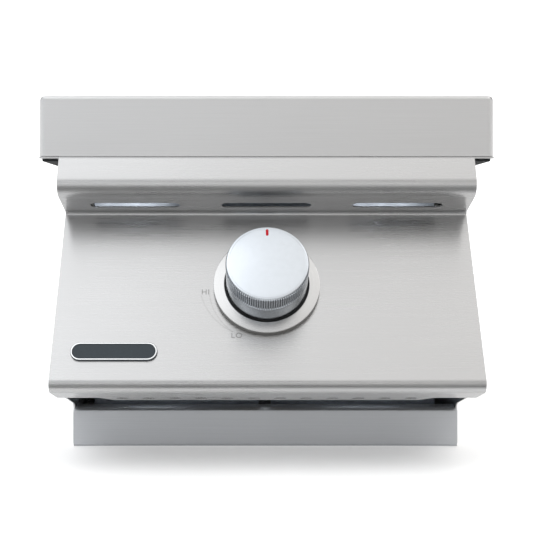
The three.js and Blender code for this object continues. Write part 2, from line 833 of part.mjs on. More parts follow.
// Drip pan: a pressed tub with a rim on the deck and a raised throat round the burner
const burner = new THREE.Group();
burner.position.y = burner_back;
part.add(burner);
const rim_bottom = deck_height + seat_gap;
const rim_top = rim_bottom + sheet;

function dripPan() {
  const outer = softBlock(tub_width, tub_length, tub_floor, rim_top, tub_corner, tub_bottom_edge, false);
  const inner = softBlock(tub_width - 2 * sheet, tub_length - 2 * sheet, tub_floor + sheet, rim_top + overrun,
    tub_corner - sheet, tub_bottom_edge - sheet, false);
  const rim = rising(roundRectangle(tub_width + 2 * tub_rim, tub_length + 2 * tub_rim, tub_corner + tub_rim),
    rim_bottom, rim_top);
  const collar = rod("z", tub_throat + sheet, tub_floor, tub_floor + sheet + tub_collar);
  const throat = rod("z", tub_throat, tub_floor - overrun, tub_floor + 2 * overrun + tub_collar);
  const electrode_way =
    rod("z", ceramic_radius + pin_play, tub_floor - overrun, tub_floor + overrun, small_steps)
      .translate(electrode_x, -electrode_ahead, 0);
  return cut(join(cut(join(outer, rim), inner), collar), throat, electrode_way);
}
add("drip_pan", dripPan(), steel, burner);

// Cooking grate: a frame on four feet, eight fingers and a hub ring, with lugs that drop inside the drip pan
const grate_bottom = rim_top + seat_gap;
const frame_bottom = grate_bottom + grate_foot;
const frame_top = frame_bottom + grate_frame_height;
const grate_top = frame_top + finger_rise;
const grate_frame_width = tub_width + 2 * grate_overlap;
const grate_frame_length = tub_length + 2 * grate_overlap;

function grateFinger(reach, with_lug, lug_at) {
  const lug_end = lug_at - grate_lug / 2;
  const under = [point(grate_hub, frame_bottom + grate_foot), point(reach / 2, frame_bottom + grate_foot)];
  const lug = with_lug
    ? [point(lug_end, frame_bottom), point(lug_end, rim_top - grate_lug_depth),
      point(lug_at, rim_top - grate_lug_depth), point(lug_at, frame_bottom)]
    : [point(reach - grate_bar, frame_bottom)];
  const upper = [point(reach, frame_bottom), point(reach, frame_top), point(reach - 2 * grate_bar, grate_top),
    point(grate_hub, grate_top)];
  return along([...under, ...lug, ...upper], -grate_bar / 2, grate_bar / 2);
}

function grate() {
  const frame = cut(
    rising(roundRectangle(grate_frame_width, grate_frame_length, grate_corner), frame_bottom, frame_top),
    rising(roundRectangle(grate_frame_width - 2 * grate_bar, grate_frame_length - 2 * grate_bar,
      grate_corner - grate_bar), frame_bottom - overrun, frame_top + overrun));
  const half_width = grate_frame_width / 2 - grate_bar / 2;
  const half_length = grate_frame_length / 2 - grate_bar / 2;
  const tub_half_width = tub_width / 2 - sheet - grate_lug_play;
  const tub_half_length = tub_length / 2 - sheet - grate_lug_play;
  const diagonal = Math.hypot(half_width, half_length) - grate_corner / 2;
  const slant = Math.atan2(half_length, half_width);
  const fingers = [
    [half_width, 0, tub_half_width], [half_width, Math.PI, tub_half_width],
    [half_length, Math.PI / 2, tub_half_length], [half_length, -Math.PI / 2, tub_half_length],
  ].map(([reach, angle, lug_at]) => grateFinger(reach, true, lug_at).rotateZ(angle));
  const slanting = [slant, Math.PI - slant, Math.PI + slant, -slant].map((angle) =>
    grateFinger(diagonal, false, 0).rotateZ(angle));
  const hub = cut(rod("z", grate_hub + grate_hub_bar, frame_bottom + grate_foot, grate_top),
    rod("z", grate_hub, frame_bottom, grate_top + overrun));
  const foot = box([-foot_width / 2, -grate_bar / 2, grate_bottom],
    [foot_width / 2, grate_bar / 2, frame_bottom + weld]);
  const feet = [-1, 1].flatMap((sx) => [-1, 1].map((sy) =>
    foot.clone().translate(sx * (half_width - grate_corner), sy * half_length, 0)));
  return join(frame, hub, ...fingers, ...slanting, ...feet);
}
add("cooking_grate", grate(), cast_iron, burner);

// Burner base: a cast mixing bowl with a socket for the tube
const base_bottom = tube_height - bowl_below_tube;
const head_top = tube_height + head_top_rise;

function burnerBase() {
  const neck_start = tube_height + neck_start_rise;
  const neck_bottom = tube_height + neck_bottom_rise;
  const neck_top = tube_height + neck_top_rise;
  const head_bottom = tube_height + head_bottom_rise;
  const outside = [
    [0, base_bottom], [bowl_radius, base_bottom], [bowl_radius, neck_start], [neck_radius, neck_bottom],
    [neck_radius, neck_top], [head_radius, head_bottom], [head_radius, head_top],
  ];
  const floor = base_bottom + base_floor;
  const inner_neck = neck_radius - bowl_wall;
  const inner_bowl = bowl_radius - bowl_wall;
  const inside = [
    [head_radius - head_wall, head_top], [head_radius - head_wall, head_bottom + bowl_wall / 2],
    [inner_neck, neck_top + bowl_wall / 2], [inner_neck, neck_bottom + bowl_wall / 2],
    [inner_bowl, neck_start + bowl_wall / 2], [inner_bowl, floor], [0, floor],
  ];
  const bowl = turned([...outside, ...inside], port_count);
  const socket = rod("y", socket_radius, -socket_length, -bowl_radius + bowl_wall)
    .translate(0, 0, tube_height);
  const bore = rod("y", tube_radius + bore_play, -socket_length - overrun, -bowl_radius / 2)
    .translate(0, 0, tube_height);
  const cavity = rod("z", inner_bowl, floor, neck_start, port_count);
  const screw_ways = [-burner_screw_offset, burner_screw_offset].map((x) =>
    rod("z", screw_radius + pin_play, base_bottom - overrun, base_bottom + screw_bite + seat_gap, small_steps)
      .translate(x, 0, 0));
  return cut(join(bowl, socket), bore, cavity, ...screw_ways);
}
add("burner_base", burnerBase(), brass, burner);

// Ported burner ring: radial ports cut down from its top
const ring_bottom = head_top + seat_gap;
const ring_top = ring_bottom + ring_height;
const ring_inside = head_radius - ring_wall;

function burnerRing() {
  const lip_outside = head_radius - head_wall - pin_play;
  const ring = turned([
    [lip_outside - ring_lip_wall, ring_bottom - ring_lip], [lip_outside, ring_bottom - ring_lip],
    [lip_outside, ring_bottom], [head_radius, ring_bottom], [head_radius, ring_top], [ring_inside, ring_top],
    [ring_inside, ring_bottom + ring_height / 2], [lip_outside - ring_lip_wall, ring_bottom],
  ], port_count);
  const port = box([ring_inside - overrun, -port_width / 2, ring_top - port_depth],
    [head_radius + overrun, port_width / 2, ring_top + overrun]);
  const ports = Array.from({ length: port_count }, (_, k) =>
    port.clone().rotateZ(((2 * k + 1) * Math.PI) / port_count - Math.PI / 2));
  return cut(ring, ...ports);
}
add("burner_ring", burnerRing(), brass, burner);

// Burner cap, loose on the ring, located by a lip
function burnerCap() {
  const bottom = ring_top + seat_gap;
  const rim = head_radius + cap_overhang;
  const lip = ring_inside - pin_play;
  return turned([
    [0, bottom], [lip - cap_lip_wall, bottom], [lip - cap_lip_wall, bottom - cap_lip],
    [lip, bottom - cap_lip], [lip, bottom], [rim, bottom], [rim, bottom + cap_thickness / 2],
    [rim - cap_thickness / 2, bottom + cap_thickness], [rim - cap_thickness, bottom + cap_thickness],
    [rim / 2, bottom + cap_thickness - cap_dish], [0, bottom + cap_thickness - cap_dish],
  ], port_count);
}
add("burner_cap", burnerCap(), cast_iron, burner);

// Cross strap between the side panels, and the two screws up into the base
const strap_top = base_bottom - seat_gap;
const strap_bottom = strap_top - strap_sheet;

function crossStrap() {
  const half = body_width / 2 - sheet - seat_gap;
  const line = [
    point(-half, strap_bottom + strap_upturn), point(-half, strap_bottom), point(half, strap_bottom),
    point(half, strap_bottom + strap_upturn),
  ];
  const strap = along(bentSheet(line, [strap_bend, strap_bend], strap_sheet),
    -strap_width / 2, strap_width / 2);
  const ways = [-burner_screw_offset, burner_screw_offset].map((x) =>
    rod("z", screw_radius + pin_play, strap_bottom - overrun, strap_top + overrun, small_steps)
      .translate(x, 0, 0));
  return cut(strap, ...ways);
}
add("cross_strap", crossStrap(), dull_steel, burner);

function burnerScrew(x) {
  const under = strap_bottom - seat_gap;
  return join(rod("z", screw_head_radius, under - screw_head, under, hex_steps),
    rod("z", screw_radius, under - weld, base_bottom + screw_bite, small_steps)).translate(x, 0, 0);
}
add("left_burner_screw", burnerScrew(-burner_screw_offset), dull_steel, burner);
add("right_burner_screw", burnerScrew(burner_screw_offset), dull_steel, burner);

// Mixing tube: a bell mouth with air windows, a cone and a straight run into the burner base
const gas_line = new THREE.Group();
gas_line.position.z = tube_height;
part.add(gas_line);
const mouth = shield_front - mouth_ahead;

function airWindows(radius) {
  const half = radians(window_angle) / 2;
  const reach = radius + overrun;
  const fan = [point(0, 0), turnedPoint(reach, 0, -half), turnedPoint(reach / Math.cos(half), 0, 0),
    turnedPoint(reach, 0, half)];
  return Array.from({ length: window_count }, (_, k) =>
    along(fan, mouth + window_start, mouth + window_start + window_length)
      .rotateY((2 * Math.PI * k) / window_count));
}

// A revolve about the gas line's axis from [radius, distance back] points
const turnedBack = (profile, steps = round_steps) => turned(profile, steps).rotateX(-Math.PI / 2);

function venturiTube() {
  const rear = burner_back - tube_end_gap;
  const bend = mouth + mouth_length;
  const inner_mouth = mouth_radius - tube_wall;
  const inner_tube = tube_radius - tube_wall;
  const shell = turnedBack([
    [mouth_hole, mouth], [mouth_radius, mouth], [mouth_radius, bend], [tube_radius, bend + cone_length],
    [tube_radius, rear], [inner_tube, rear], [inner_tube, bend + cone_length], [inner_mouth, bend],
    [inner_mouth, mouth + tube_wall], [mouth_hole, mouth + tube_wall],
  ]);
  const core = rod("y", mouth_hole, mouth, bend);
  return cut(shell, ...airWindows(mouth_radius).map((fan) => cut(fan, core)));
}
add("venturi_tube", venturiTube(), dull_steel, gas_line);

// Air shutter: a sleeve with matching windows and a tab to turn it by
function airShutter() {
  const inside = mouth_radius + pin_play;
  const outside = inside + shutter_wall;
  const start = mouth + shutter_start;
  const sleeve = turnedBack([[inside, start], [outside, start], [outside, start + shutter_length],
    [inside, start + shutter_length]]);
  const tab = box([-shutter_tab / 2, start, outside - shutter_wall / 2],
    [shutter_tab / 2, start + shutter_wall, outside + shutter_tab]).rotateY(Math.PI / window_count);
  return join(cut(sleeve, ...airWindows(outside)), tab);
}
add("air_shutter", airShutter(), dull_steel, gas_line);

// Orifice spud: a brass hexagon with a drilled nose in the tube's mouth
const plate_back = mouth - plate_to_mouth;
const hex_back = plate_back - orifice_sheet - seat_gap;
const hex_front = hex_back - spud_hex_length;

function orificeSpud() {
  const nose_end = mouth + spud_reach;
  const body = join(rod("y", spud_hex_radius, hex_front, hex_back, hex_steps),
    rod("y", spud_neck, hex_back - weld, nose_end));
  return cut(body, rod("y", spud_bore, hex_front - overrun, nose_end - jet_length, small_steps),
    rod("y", jet_radius, nose_end - jet_length - overrun, nose_end + overrun, hex_steps));
}
add("orifice_spud", orificeSpud(), brass, gas_line);

// Orifice bracket: a bent strip from the heat shield that holds the spud on the tube's axis
function orificeBracket() {
  const foot_back = shield_front - seat_gap;
  const line = [
    point(foot_back, -orifice_arm_drop - orifice_foot), point(foot_back, -orifice_arm_drop),
    point(plate_back, -orifice_arm_drop), point(plate_back, orifice_plate_rise),
  ];
  const strip = across(bentSheet(line, [orifice_bend, orifice_bend], orifice_sheet),
    -orifice_width / 2, orifice_width / 2);
  return cut(strip, rod("y", spud_neck + pin_play, plate_back - overrun, plate_back + overrun));
}
add("orifice_bracket", orificeBracket(), dull_steel, gas_line);

// Bezel ring with a thin inner lip that its two screws hold down
function bezel() {
  const bottom = seat_gap;
  const ring = turned([
    [bezel_lip_inner, bottom], [bezel_radius, bottom], [bezel_radius, bezel_height - bezel_edge],
    [bezel_radius - bezel_edge, bezel_height], [bezel_inner + bezel_inner_edge, bezel_height],
    [bezel_inner, bezel_height - bezel_inner_edge], [bezel_inner, bottom + bezel_lip],
    [bezel_lip_inner, bottom + bezel_lip],
  ], large_steps);
  const ways = bezel_screw_places.map((x) =>
    rod("z", bezel_screw_radius + pin_play, -overrun, overrun, small_steps).translate(x, 0, 0));
  return cut(ring, ...ways);
}
add("knob_bezel", bezel(), chrome, on_face);

function bezelScrew(x) {
  const under = bezel_lip + 2 * seat_gap;
  return join(rod("z", bezel_screw_head, under, under + bezel_screw_head_height, small_steps),
    rod("z", bezel_screw_radius, -bezel_screw_length, under + weld, small_steps)).translate(x, 0, 0);
}
add("left_bezel_screw", bezelScrew(bezel_screw_places[0]), dull_steel, on_face);
add("right_bezel_screw", bezelScrew(bezel_screw_places[1]), dull_steel, on_face);

// Knob: a hollow casting with a fluted band and a hub with a flat in its bore. Pushed in, its skirt ends
// level with the bezel.
const knob_bottom = bezel_height + push_travel + knob_push_play;
const knob_hub_bottom = knob_bottom + knob_hub_recess;
const knob_bore_top = stem_top + stem_top_play;

function flatBore(radius, flat, low, high) {
  const bore = rod("z", radius, low, high, small_steps);
  return cut(bore, box([-2 * radius, flat, low - overrun], [2 * radius, 2 * radius, high + overrun]));
}

function knob() {
  const inside_top = knob_face_height - knob_wall;
  const inside = knob_skirt_radius - knob_wall;
  const shell = turned([
    [0, knob_bore_top + knob_wall], [0, knob_face_height], [knob_face_radius - knob_edge, knob_face_height],
    [knob_face_radius - knob_edge / 3, knob_face_height - knob_edge / 3],
    [knob_face_radius, knob_face_height - knob_edge],
    [knob_neck_radius, knob_band_top], [knob_neck_radius, knob_skirt_top],
    [knob_skirt_radius, knob_skirt_top], [knob_skirt_radius, knob_bottom], [inside, knob_bottom],
    [inside, inside_top],
    [knob_hub, inside_top], [knob_hub, knob_hub_bottom], [0, knob_hub_bottom],
  ].reverse(), large_steps);
  const star = Array.from({ length: 2 * flute_count }, (_, k) =>
    turnedPoint(knob_band_radius - (k % 2) * flute_depth, 0, (Math.PI * k) / flute_count));
  const band = rising(star, knob_skirt_top + seat_gap, knob_band_top);
  const core = rod("z", inside, knob_skirt_top - overrun, knob_band_top + overrun, large_steps);
  const flat_top = knob_face_radius - knob_edge;
  const pointer = box([-pointer_width / 2, flat_top - pointer_length, knob_face_height - pointer_depth],
    [pointer_width / 2, flat_top, knob_face_height + overrun]);
  const bore = flatBore(stem_radius + pin_play, stem_flat + pin_play, knob_hub_bottom - overrun,
    knob_bore_top);
  return cut(join(shell, cut(band, core)), bore, pointer);
}
add("control_knob", knob(), chrome, on_face);

// Red pointer line, an enamel fill in the knob's face
function pointerLine() {
  const inset = seat_gap / 2;
  const far = knob_face_radius - knob_edge - inset;
  const near = far - pointer_length + 2 * inset;
  return box([-pointer_width / 2 + inset, near, knob_face_height - pointer_depth + inset],
    [pointer_width / 2 - inset, far, knob_face_height]);
}
add("knob_pointer", pointerLine(), red, on_face);

// Gas valve, along the knob axis behind the panel
const plate_front = -sheet - seat_gap;
const bonnet_front = plate_front - sheet - seat_gap;
const valve_front = bonnet_front - bonnet_thickness - seat_gap;
const valve_rear = valve_front - valve_length;
const port_place = valve_front - port_from_front;
const collar_front = valve_front - seat_gap;
const washer_front = collar_front - collar_thickness - seat_gap;
const spring_front = washer_front - washer_thickness - seat_gap;

function valveBracket() {
  const plate = rising(roundRectangle(valve_bracket_width, valve_bracket_height, valve_bracket_corner),
    plate_front - sheet, plate_front);
  const ways = bezel_screw_places.map((x) =>
    rod("z", bezel_screw_radius + pin_play, plate_front - overrun, overrun, small_steps).translate(x, 0, 0));
  const stem_way = rod("z", stem_radius + 2 * pin_play, plate_front - overrun, overrun, small_steps);
  return cut(plate, stem_way, ...ways);
}
add("valve_bracket", valveBracket(), dull_steel, on_face);

function valveBonnet() {
  return cut(rod("z", bonnet_radius, bonnet_front - bonnet_thickness, bonnet_front),
    rod("z", stem_radius + pin_play, bonnet_front - bonnet_thickness - overrun, overrun, small_steps));
}
add("valve_bonnet", valveBonnet(), brass, on_face);

function valveBody() {
  const barrel = rod("z", valve_radius, valve_rear, valve_front);
  const outlet = rod("y", outlet_radius, 0, outlet_reach).translate(0, 0, port_place);
  const inlet = rod("y", inlet_radius, -inlet_reach, 0).translate(0, 0, port_place);
  const bore = rod("z", valve_bore, valve_rear + valve_back, valve_front + overrun);
  const ports = rod("y", port_radius, -inlet_reach - overrun, outlet_reach + overrun, small_steps)
    .translate(0, 0, port_place);
  return cut(join(barrel, outlet, inlet), bore, ports);
}
add("valve_body", valveBody(), brass, on_face);

// Plug that turns in the body: a spring pocket, a slot for the stem's tang and the gas way through it
function valvePlug() {
  const rear = valve_rear + valve_back + seat_gap;
  const blank = rod("z", plug_radius, rear, -plug_front);
  const pocket = rod("z", plug_pocket, -plug_front - plug_pocket_depth, -plug_front + overrun);
  const slot = box([-tang_width / 2 - tang_play, -tang_thickness / 2 - tang_play, -tang_slot_end],
    [tang_width / 2 + tang_play, tang_thickness / 2 + tang_play, -plug_front]);
  const way = rod("y", port_radius, -valve_radius, valve_radius, small_steps).translate(0, 0, port_place);
  return cut(blank, pocket, slot, way);
}
add("valve_plug", valvePlug(), brass, on_face);

function valveStem() {
  const shaft = cut(rod("z", stem_radius, collar_front - collar_thickness, stem_top, small_steps),
    box([-2 * stem_radius, stem_flat, knob_bottom], [2 * stem_radius, 2 * stem_radius, stem_top + overrun]));
  const collar = rod("z", collar_radius, collar_front - collar_thickness, collar_front);
  const neck = rod("z", tang_width / 2, -plug_front + seat_gap, collar_front - collar_thickness + weld,
    small_steps);
  const tang = box([-tang_width / 2, -tang_thickness / 2, -tang_reach],
    [tang_width / 2, tang_thickness / 2, -plug_front + 2 * seat_gap]);
  return join(shaft, collar, neck, tang);
}
add("valve_stem", valveStem(), dull_steel, on_face);

function thrustWasher() {
  return cut(rod("z", washer_radius, washer_front - washer_thickness, washer_front),
    rod("z", tang_width / 2 + 2 * pin_play, washer_front - overrun, washer_front + overrun, small_steps));
}
add("thrust_washer", thrustWasher(), dull_steel, on_face);

// Return spring: a coil drawn as one tube, its ends level with the first and last turn
class Coil extends THREE.Curve {
  getPoint(t) {
    const angle = 2 * Math.PI * spring_turns * t;
    const run = spring_length - 2 * spring_wire;
    return new THREE.Vector3(spring_radius * Math.cos(angle), spring_radius * Math.sin(angle),
      spring_front - spring_wire - run * t);
  }
}
const coil = new Coil();
const coil_points = coil.getPoints(spring_turns * spring_steps);
const turn_gaps = coil_points.flatMap((a, i) =>
  coil_points.slice(i + spring_steps / 2 + 1).map((b) => a.distanceTo(b) - 2 * spring_wire));
console.log("valve spring: least gap to itself " + Math.min(...turn_gaps).toFixed(2) + " mm");
add("valve_spring", drawn(coil, spring_turns * spring_steps, spring_wire, wire_sides), dull_steel, on_face);

// Gas supply tube from the valve's outlet up to the orifice, with a nut at each end
const port_centre = knob_centre.clone().addScaledVector(point(-face_up.y, face_up.x), port_place);
const outlet_end = port_centre.clone().addScaledVector(face_up, outlet_reach + seat_gap);
const supply_rise = (tube_height - outlet_end.y) / face_up.y;
const supply_turn = outlet_end.clone().addScaledVector(face_up, supply_rise);
const supply_end = point(hex_front - seat_gap, tube_height);

const supply_line = [outlet_end, supply_turn, supply_end];
add("gas_supply_tube", pipe(supply_line, supply_bend, supply_radius, supply_wall), dull_steel);

function hexNut(radius, front, back, bore, height) {
  const blank = rod("y", radius, front, back, hex_steps);
  return cut(blank, rod("y", bore, front - overrun, back + overrun, small_steps)).translate(0, 0, height);
}
const supply_bore = supply_radius + pin_play;
const outlet_seat = outlet_reach + seat_gap;
add("supply_nut_rear",
  hexNut(supply_nut_radius, supply_end.x - supply_nut_length, supply_end.x, supply_bore, tube_height), brass);
add("supply_nut_front",
  hexNut(supply_nut_radius, outlet_seat, outlet_seat + supply_nut_length, supply_bore, port_place), brass,
  on_face);

// Gas inlet: a nut on the valve, a pipe over the trim and along the floor, and the fitting in the rear panel
const inlet_seat = -inlet_reach - seat_gap;
const inlet_bore = pipe_radius + pin_play;
const inlet_nut_end = inlet_seat - inlet_nut_length;
add("inlet_nut", hexNut(inlet_nut_radius, inlet_nut_end, inlet_seat, inlet_bore, port_place), brass, on_face);
const fitting_front = body_rear - sheet - seat_gap - fitting_hex_length;
const pipe_start = port_centre.clone().addScaledVector(face_up, inlet_seat);
const pipe_low = pipe_start.clone().addScaledVector(face_up, -pipe_drop);
const dip_start = point(trim_front + pipe_dip_start, trim_height + pipe_over_trim);
const dip_end = point(dip_start.x + pipe_dip_length, pipe_height);
const pipe_end = point(fitting_front - seat_gap, pipe_height);
const inlet_line = [pipe_start, pipe_low, dip_start, dip_end, pipe_end];
add("gas_inlet_pipe", pipe(inlet_line, pipe_bend, pipe_radius, pipe_wall), dull_steel);

function inletFitting() {
  const hex_rear = fitting_front + fitting_hex_length;
  return cut(join(rod("y", fitting_hex_radius, fitting_front, hex_rear, hex_steps),
    rod("y", fitting_radius, hex_rear - weld, body_rear + fitting_outside)),
  rod("y", fitting_bore, fitting_front - overrun, body_rear + fitting_outside + overrun, small_steps))
    .translate(0, 0, pipe_height);
}
add("gas_inlet_fitting", inletFitting(), brass);
const outside_face = body_rear + seat_gap;
add("inlet_lock_nut", hexNut(fitting_hex_radius, outside_face, outside_face + fitting_nut_length,
  fitting_radius + pin_play, pipe_height), brass);

// Igniter: a spark module beside the valve, an electrode by the ports and the lead between them
const module_x = valve_radius + 2 * seat_gap + module_width / 2;
add("spark_module", rising(roundRectangle(module_width, module_height, module_corner),
  -module_front - module_length, -module_front).translate(module_x, 0, 0), black_plastic, on_face);

const igniter = new THREE.Group();
igniter.position.set(electrode_x, -electrode_ahead, 0);
burner.add(igniter);
const igniter_plate_bottom = tub_floor - seat_gap - igniter_plate;
const ceramic_bottom = tube_height + ceramic_above_tube;
const ceramic_shoulder = igniter_plate_bottom - seat_gap;
const ceramic_top = head_top + ceramic_over_head;

function electrodeCeramic() {
  const collar_bottom = ceramic_shoulder - ceramic_collar;
  return turned([
    [0, ceramic_bottom], [ceramic_radius, ceramic_bottom], [ceramic_radius, collar_bottom],
    [ceramic_collar_radius, collar_bottom], [ceramic_collar_radius, ceramic_shoulder],
    [ceramic_radius, ceramic_shoulder], [ceramic_radius, ceramic_top], [0, ceramic_top],
  ], small_steps);
}
add("electrode_ceramic", electrodeCeramic(), ceramic, igniter);

function electrodeBracket() {
  const low = igniter_plate_bottom;
  const plate = box([-igniter_plate_width / 2, -igniter_plate_length / 2, low],
    [igniter_plate_width / 2, igniter_plate_length / 2, low + igniter_plate]);
  return cut(plate, rod("z", ceramic_radius + pin_play, low - overrun, low + overrun, small_steps));
}
add("electrode_bracket", electrodeBracket(), dull_steel, igniter);

function electrodeTip() {
  const foot = new THREE.Vector3(0, 0, ceramic_top + seat_gap);
  const knee = new THREE.Vector3(0, 0, foot.z + electrode_rise);
  const inward = new THREE.Vector3(-electrode_x, electrode_ahead, 0).setLength(electrode_reach);
  const bend = new THREE.QuadraticBezierCurve3(foot, knee, knee.clone().add(inward));
  return drawn(bend, bend_steps, electrode_wire, hex_steps);
}
add("electrode_tip", electrodeTip(), dull_steel, igniter);

// Route of the igniter lead, whose places are chosen by hand: from the module to the hole in the heat shield,
// measured from the module's end, and from there to the electrode, measured from the ceramic's lower end
const module_end = -module_front - module_length - seat_gap;
const module_exit = knob_centre.clone().addScaledVector(point(-face_up.y, face_up.x), module_end);
const lead_start = new THREE.Vector3(module_x, module_exit.x, module_exit.y);
const lead_end = new THREE.Vector3(electrode_x, burner_back - electrode_ahead, ceramic_bottom - seat_gap);
const ahead_of_shield = [[0, 0, 0], [0, 10.7, -6], [11.6, 22.7, -9.5], [22.6, 40.7, -1.5],
  [34.6, 60.7, 12.5]];
const behind_shield = [[18.5, -82.5, -37.7], [12.5, -52.5, -33.7], [5.5, -24.5, -27.7], [1, -5.5, -19.7],
  [0, 0, -9.7], [0, 0, 0]];
const lead_route = [
  ...ahead_of_shield.map((offset) => new THREE.Vector3(...offset).add(lead_start)),
  new THREE.Vector3(lead_hole_x, shield_front, lead_hole_height),
  ...behind_shield.map((offset) => new THREE.Vector3(...offset).add(lead_end)),
];
const lead_curve = new THREE.CatmullRomCurve3(lead_route);
add("igniter_lead", drawn(lead_curve, lead_steps, lead_radius, lead_sides), black_plastic);

// Blank badge plate with a raised border
function badge() {
  const plate = rising(obround(badge_length, badge_height), seat_gap, seat_gap + badge_thickness);
  const recess = rising(obround(badge_length - 2 * badge_border, badge_height - 2 * badge_border),
    seat_gap + badge_thickness - badge_recess, seat_gap + badge_thickness + overrun);
  return cut(plate, recess);
}
const badge_x = badge_from_side - body_width / 2;
const badge_below_knob = face_length - knob_from_crease - badge_above_nose;
add("badge_plate", badge().translate(badge_x, -badge_below_knob, 0), slate, on_face);

// The origin is under the middle of the whole burner
part.updateMatrixWorld(true);
const extent = new THREE.Box3().setFromObject(part, true);
part.position.set(-(extent.min.x + extent.max.x) / 2, -(extent.min.y + extent.max.y) / 2, -extent.min.z);

export default part;
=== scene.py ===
import json
import math

import bmesh
import bpy
from mathutils import Matrix, Vector


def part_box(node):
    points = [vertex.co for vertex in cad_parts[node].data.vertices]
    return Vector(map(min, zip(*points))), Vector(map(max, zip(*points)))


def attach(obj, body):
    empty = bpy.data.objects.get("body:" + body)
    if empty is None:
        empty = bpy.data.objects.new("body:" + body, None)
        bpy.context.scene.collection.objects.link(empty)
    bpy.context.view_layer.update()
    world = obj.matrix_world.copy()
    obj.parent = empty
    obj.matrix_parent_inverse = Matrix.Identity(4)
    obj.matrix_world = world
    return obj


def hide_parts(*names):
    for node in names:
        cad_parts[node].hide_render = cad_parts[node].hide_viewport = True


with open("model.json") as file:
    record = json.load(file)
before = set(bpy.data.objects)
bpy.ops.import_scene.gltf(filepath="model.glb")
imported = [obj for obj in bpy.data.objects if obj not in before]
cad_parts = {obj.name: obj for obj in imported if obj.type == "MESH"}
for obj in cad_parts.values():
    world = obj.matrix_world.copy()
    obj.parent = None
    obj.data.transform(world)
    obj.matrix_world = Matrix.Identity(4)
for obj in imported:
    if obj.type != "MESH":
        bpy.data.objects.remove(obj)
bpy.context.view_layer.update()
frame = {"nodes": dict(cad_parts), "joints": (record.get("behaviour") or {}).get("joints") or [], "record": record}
nodes = frame["nodes"]
joints = {joint["name"]: joint for joint in frame["joints"]}
MM = 0.001

# Camera: level and square to the front, seen through the lens that the picture's perspective gives
PICTURE = 533
FOCAL_PIXELS = 1025
SENSOR = 36
AXIS_PIXEL = (250.0, 228.3)
EYE = Vector((-0.012, -0.95658, 0.1703))
NEAREST, FARTHEST = 0.05, 50

camera = bpy.data.objects.new("camera", bpy.data.cameras.new("camera"))
bpy.context.scene.collection.objects.link(camera)
camera.location = EYE
camera.rotation_euler = (math.radians(90), 0, 0)
camera.data.sensor_width = SENSOR
camera.data.lens = FOCAL_PIXELS / PICTURE * SENSOR
camera.data.shift_x = (PICTURE / 2 - AXIS_PIXEL[0]) / PICTURE
camera.data.shift_y = (AXIS_PIXEL[1] - PICTURE / 2) / PICTURE
camera.data.clip_start = NEAREST
camera.data.clip_end = FARTHEST
bpy.context.scene.camera = camera
bpy.context.scene.view_settings.view_transform = "Standard"


# Finishes
def math_node(tree, operation, *terms):
    """A sum in the material; each term is a number or another node's output."""
    made = tree.nodes.new("ShaderNodeMath")
    made.operation = operation
    for socket, term in zip(made.inputs, terms):
        if isinstance(term, (int, float)):
            socket.default_value = term
        else:
            tree.links.new(term, socket)
    return made.outputs["Value"]


def mixed(tree, kind, first, second, share):
    """Two outputs or values mixed; share is how much of the second."""
    mix = tree.nodes.new("ShaderNodeMix")
    mix.data_type = kind
    a, b, result = {"FLOAT": (2, 3, 0), "VECTOR": (4, 5, 1), "RGBA": (6, 7, 2)}[kind]
    for index, term in ((0, share), (a, first), (b, second)):
        if isinstance(term, bpy.types.NodeSocket):
            tree.links.new(term, mix.inputs[index])
        else:
            mix.inputs[index].default_value = term
    return mix.outputs[result]


def noise(tree, place, scale, detail, distortion=0.0):
    """A noise texture stretched by three scales per metre."""
    stretch = tree.nodes.new("ShaderNodeMapping")
    stretch.inputs["Scale"].default_value = scale
    texture = tree.nodes.new("ShaderNodeTexNoise")
    texture.inputs["Scale"].default_value = 1
    texture.inputs["Detail"].default_value = detail
    texture.inputs["Distortion"].default_value = distortion
    tree.links.new(place, stretch.inputs["Vector"])
    tree.links.new(stretch.outputs["Vector"], texture.inputs["Vector"])
    return texture.outputs["Fac"]


def ranged(tree, value, low, high, start=0.3, end=0.7):
    """A value between start and end spread over a range; a noise keeps to its middle, so 0.3 to 0.7."""
    spread = tree.nodes.new("ShaderNodeMapRange")
    for socket, number in (("From Min", start), ("From Max", end), ("To Min", low), ("To Max", high)):
        spread.inputs[socket].default_value = number
    tree.links.new(value, spread.inputs["Value"])
    return spread.outputs["Result"]


def vector_node(tree, operation, *terms):
    """The same as math_node for vectors."""
    made = tree.nodes.new("ShaderNodeVectorMath")
    made.operation = operation
    for socket, term in zip(made.inputs, terms):
        if isinstance(term, bpy.types.NodeSocket):
            tree.links.new(term, socket)
        else:
            socket.default_value = term
    return made.outputs["Value" if operation == "DOT_PRODUCT" else "Vector"]


# How nearly along an axis a surface has to face to count as square to it
SQUARE_TO = 0.75


def end_face(tree, place, axis):
    """1 where the surface faces along an axis of the object, else 0."""
    facing = vector_node(tree, "DOT_PRODUCT", place.outputs["Normal"], axis)
    return math_node(tree, "GREATER_THAN", math_node(tree, "ABSOLUTE", facing), SQUARE_TO)


# Texture scales per metre: across brush marks, along them, and round a spun face by TURN_LENGTH a radian
FINE = 1500
LONG = 14
ROUND = 300
TURN_LENGTH = 0.001
GRAIN_DETAIL = 5
RING_DETAIL = 4
QUARTER_TURN = 0.25
BRUSH = {
    "x": ((LONG, FINE, FINE), (FINE, LONG, FINE), (1, 0, 0), (0, 1, 0)),
    "y": ((FINE, LONG, FINE), (LONG, FINE, FINE), (0, 1, 0), (1, 0, 0)),
}


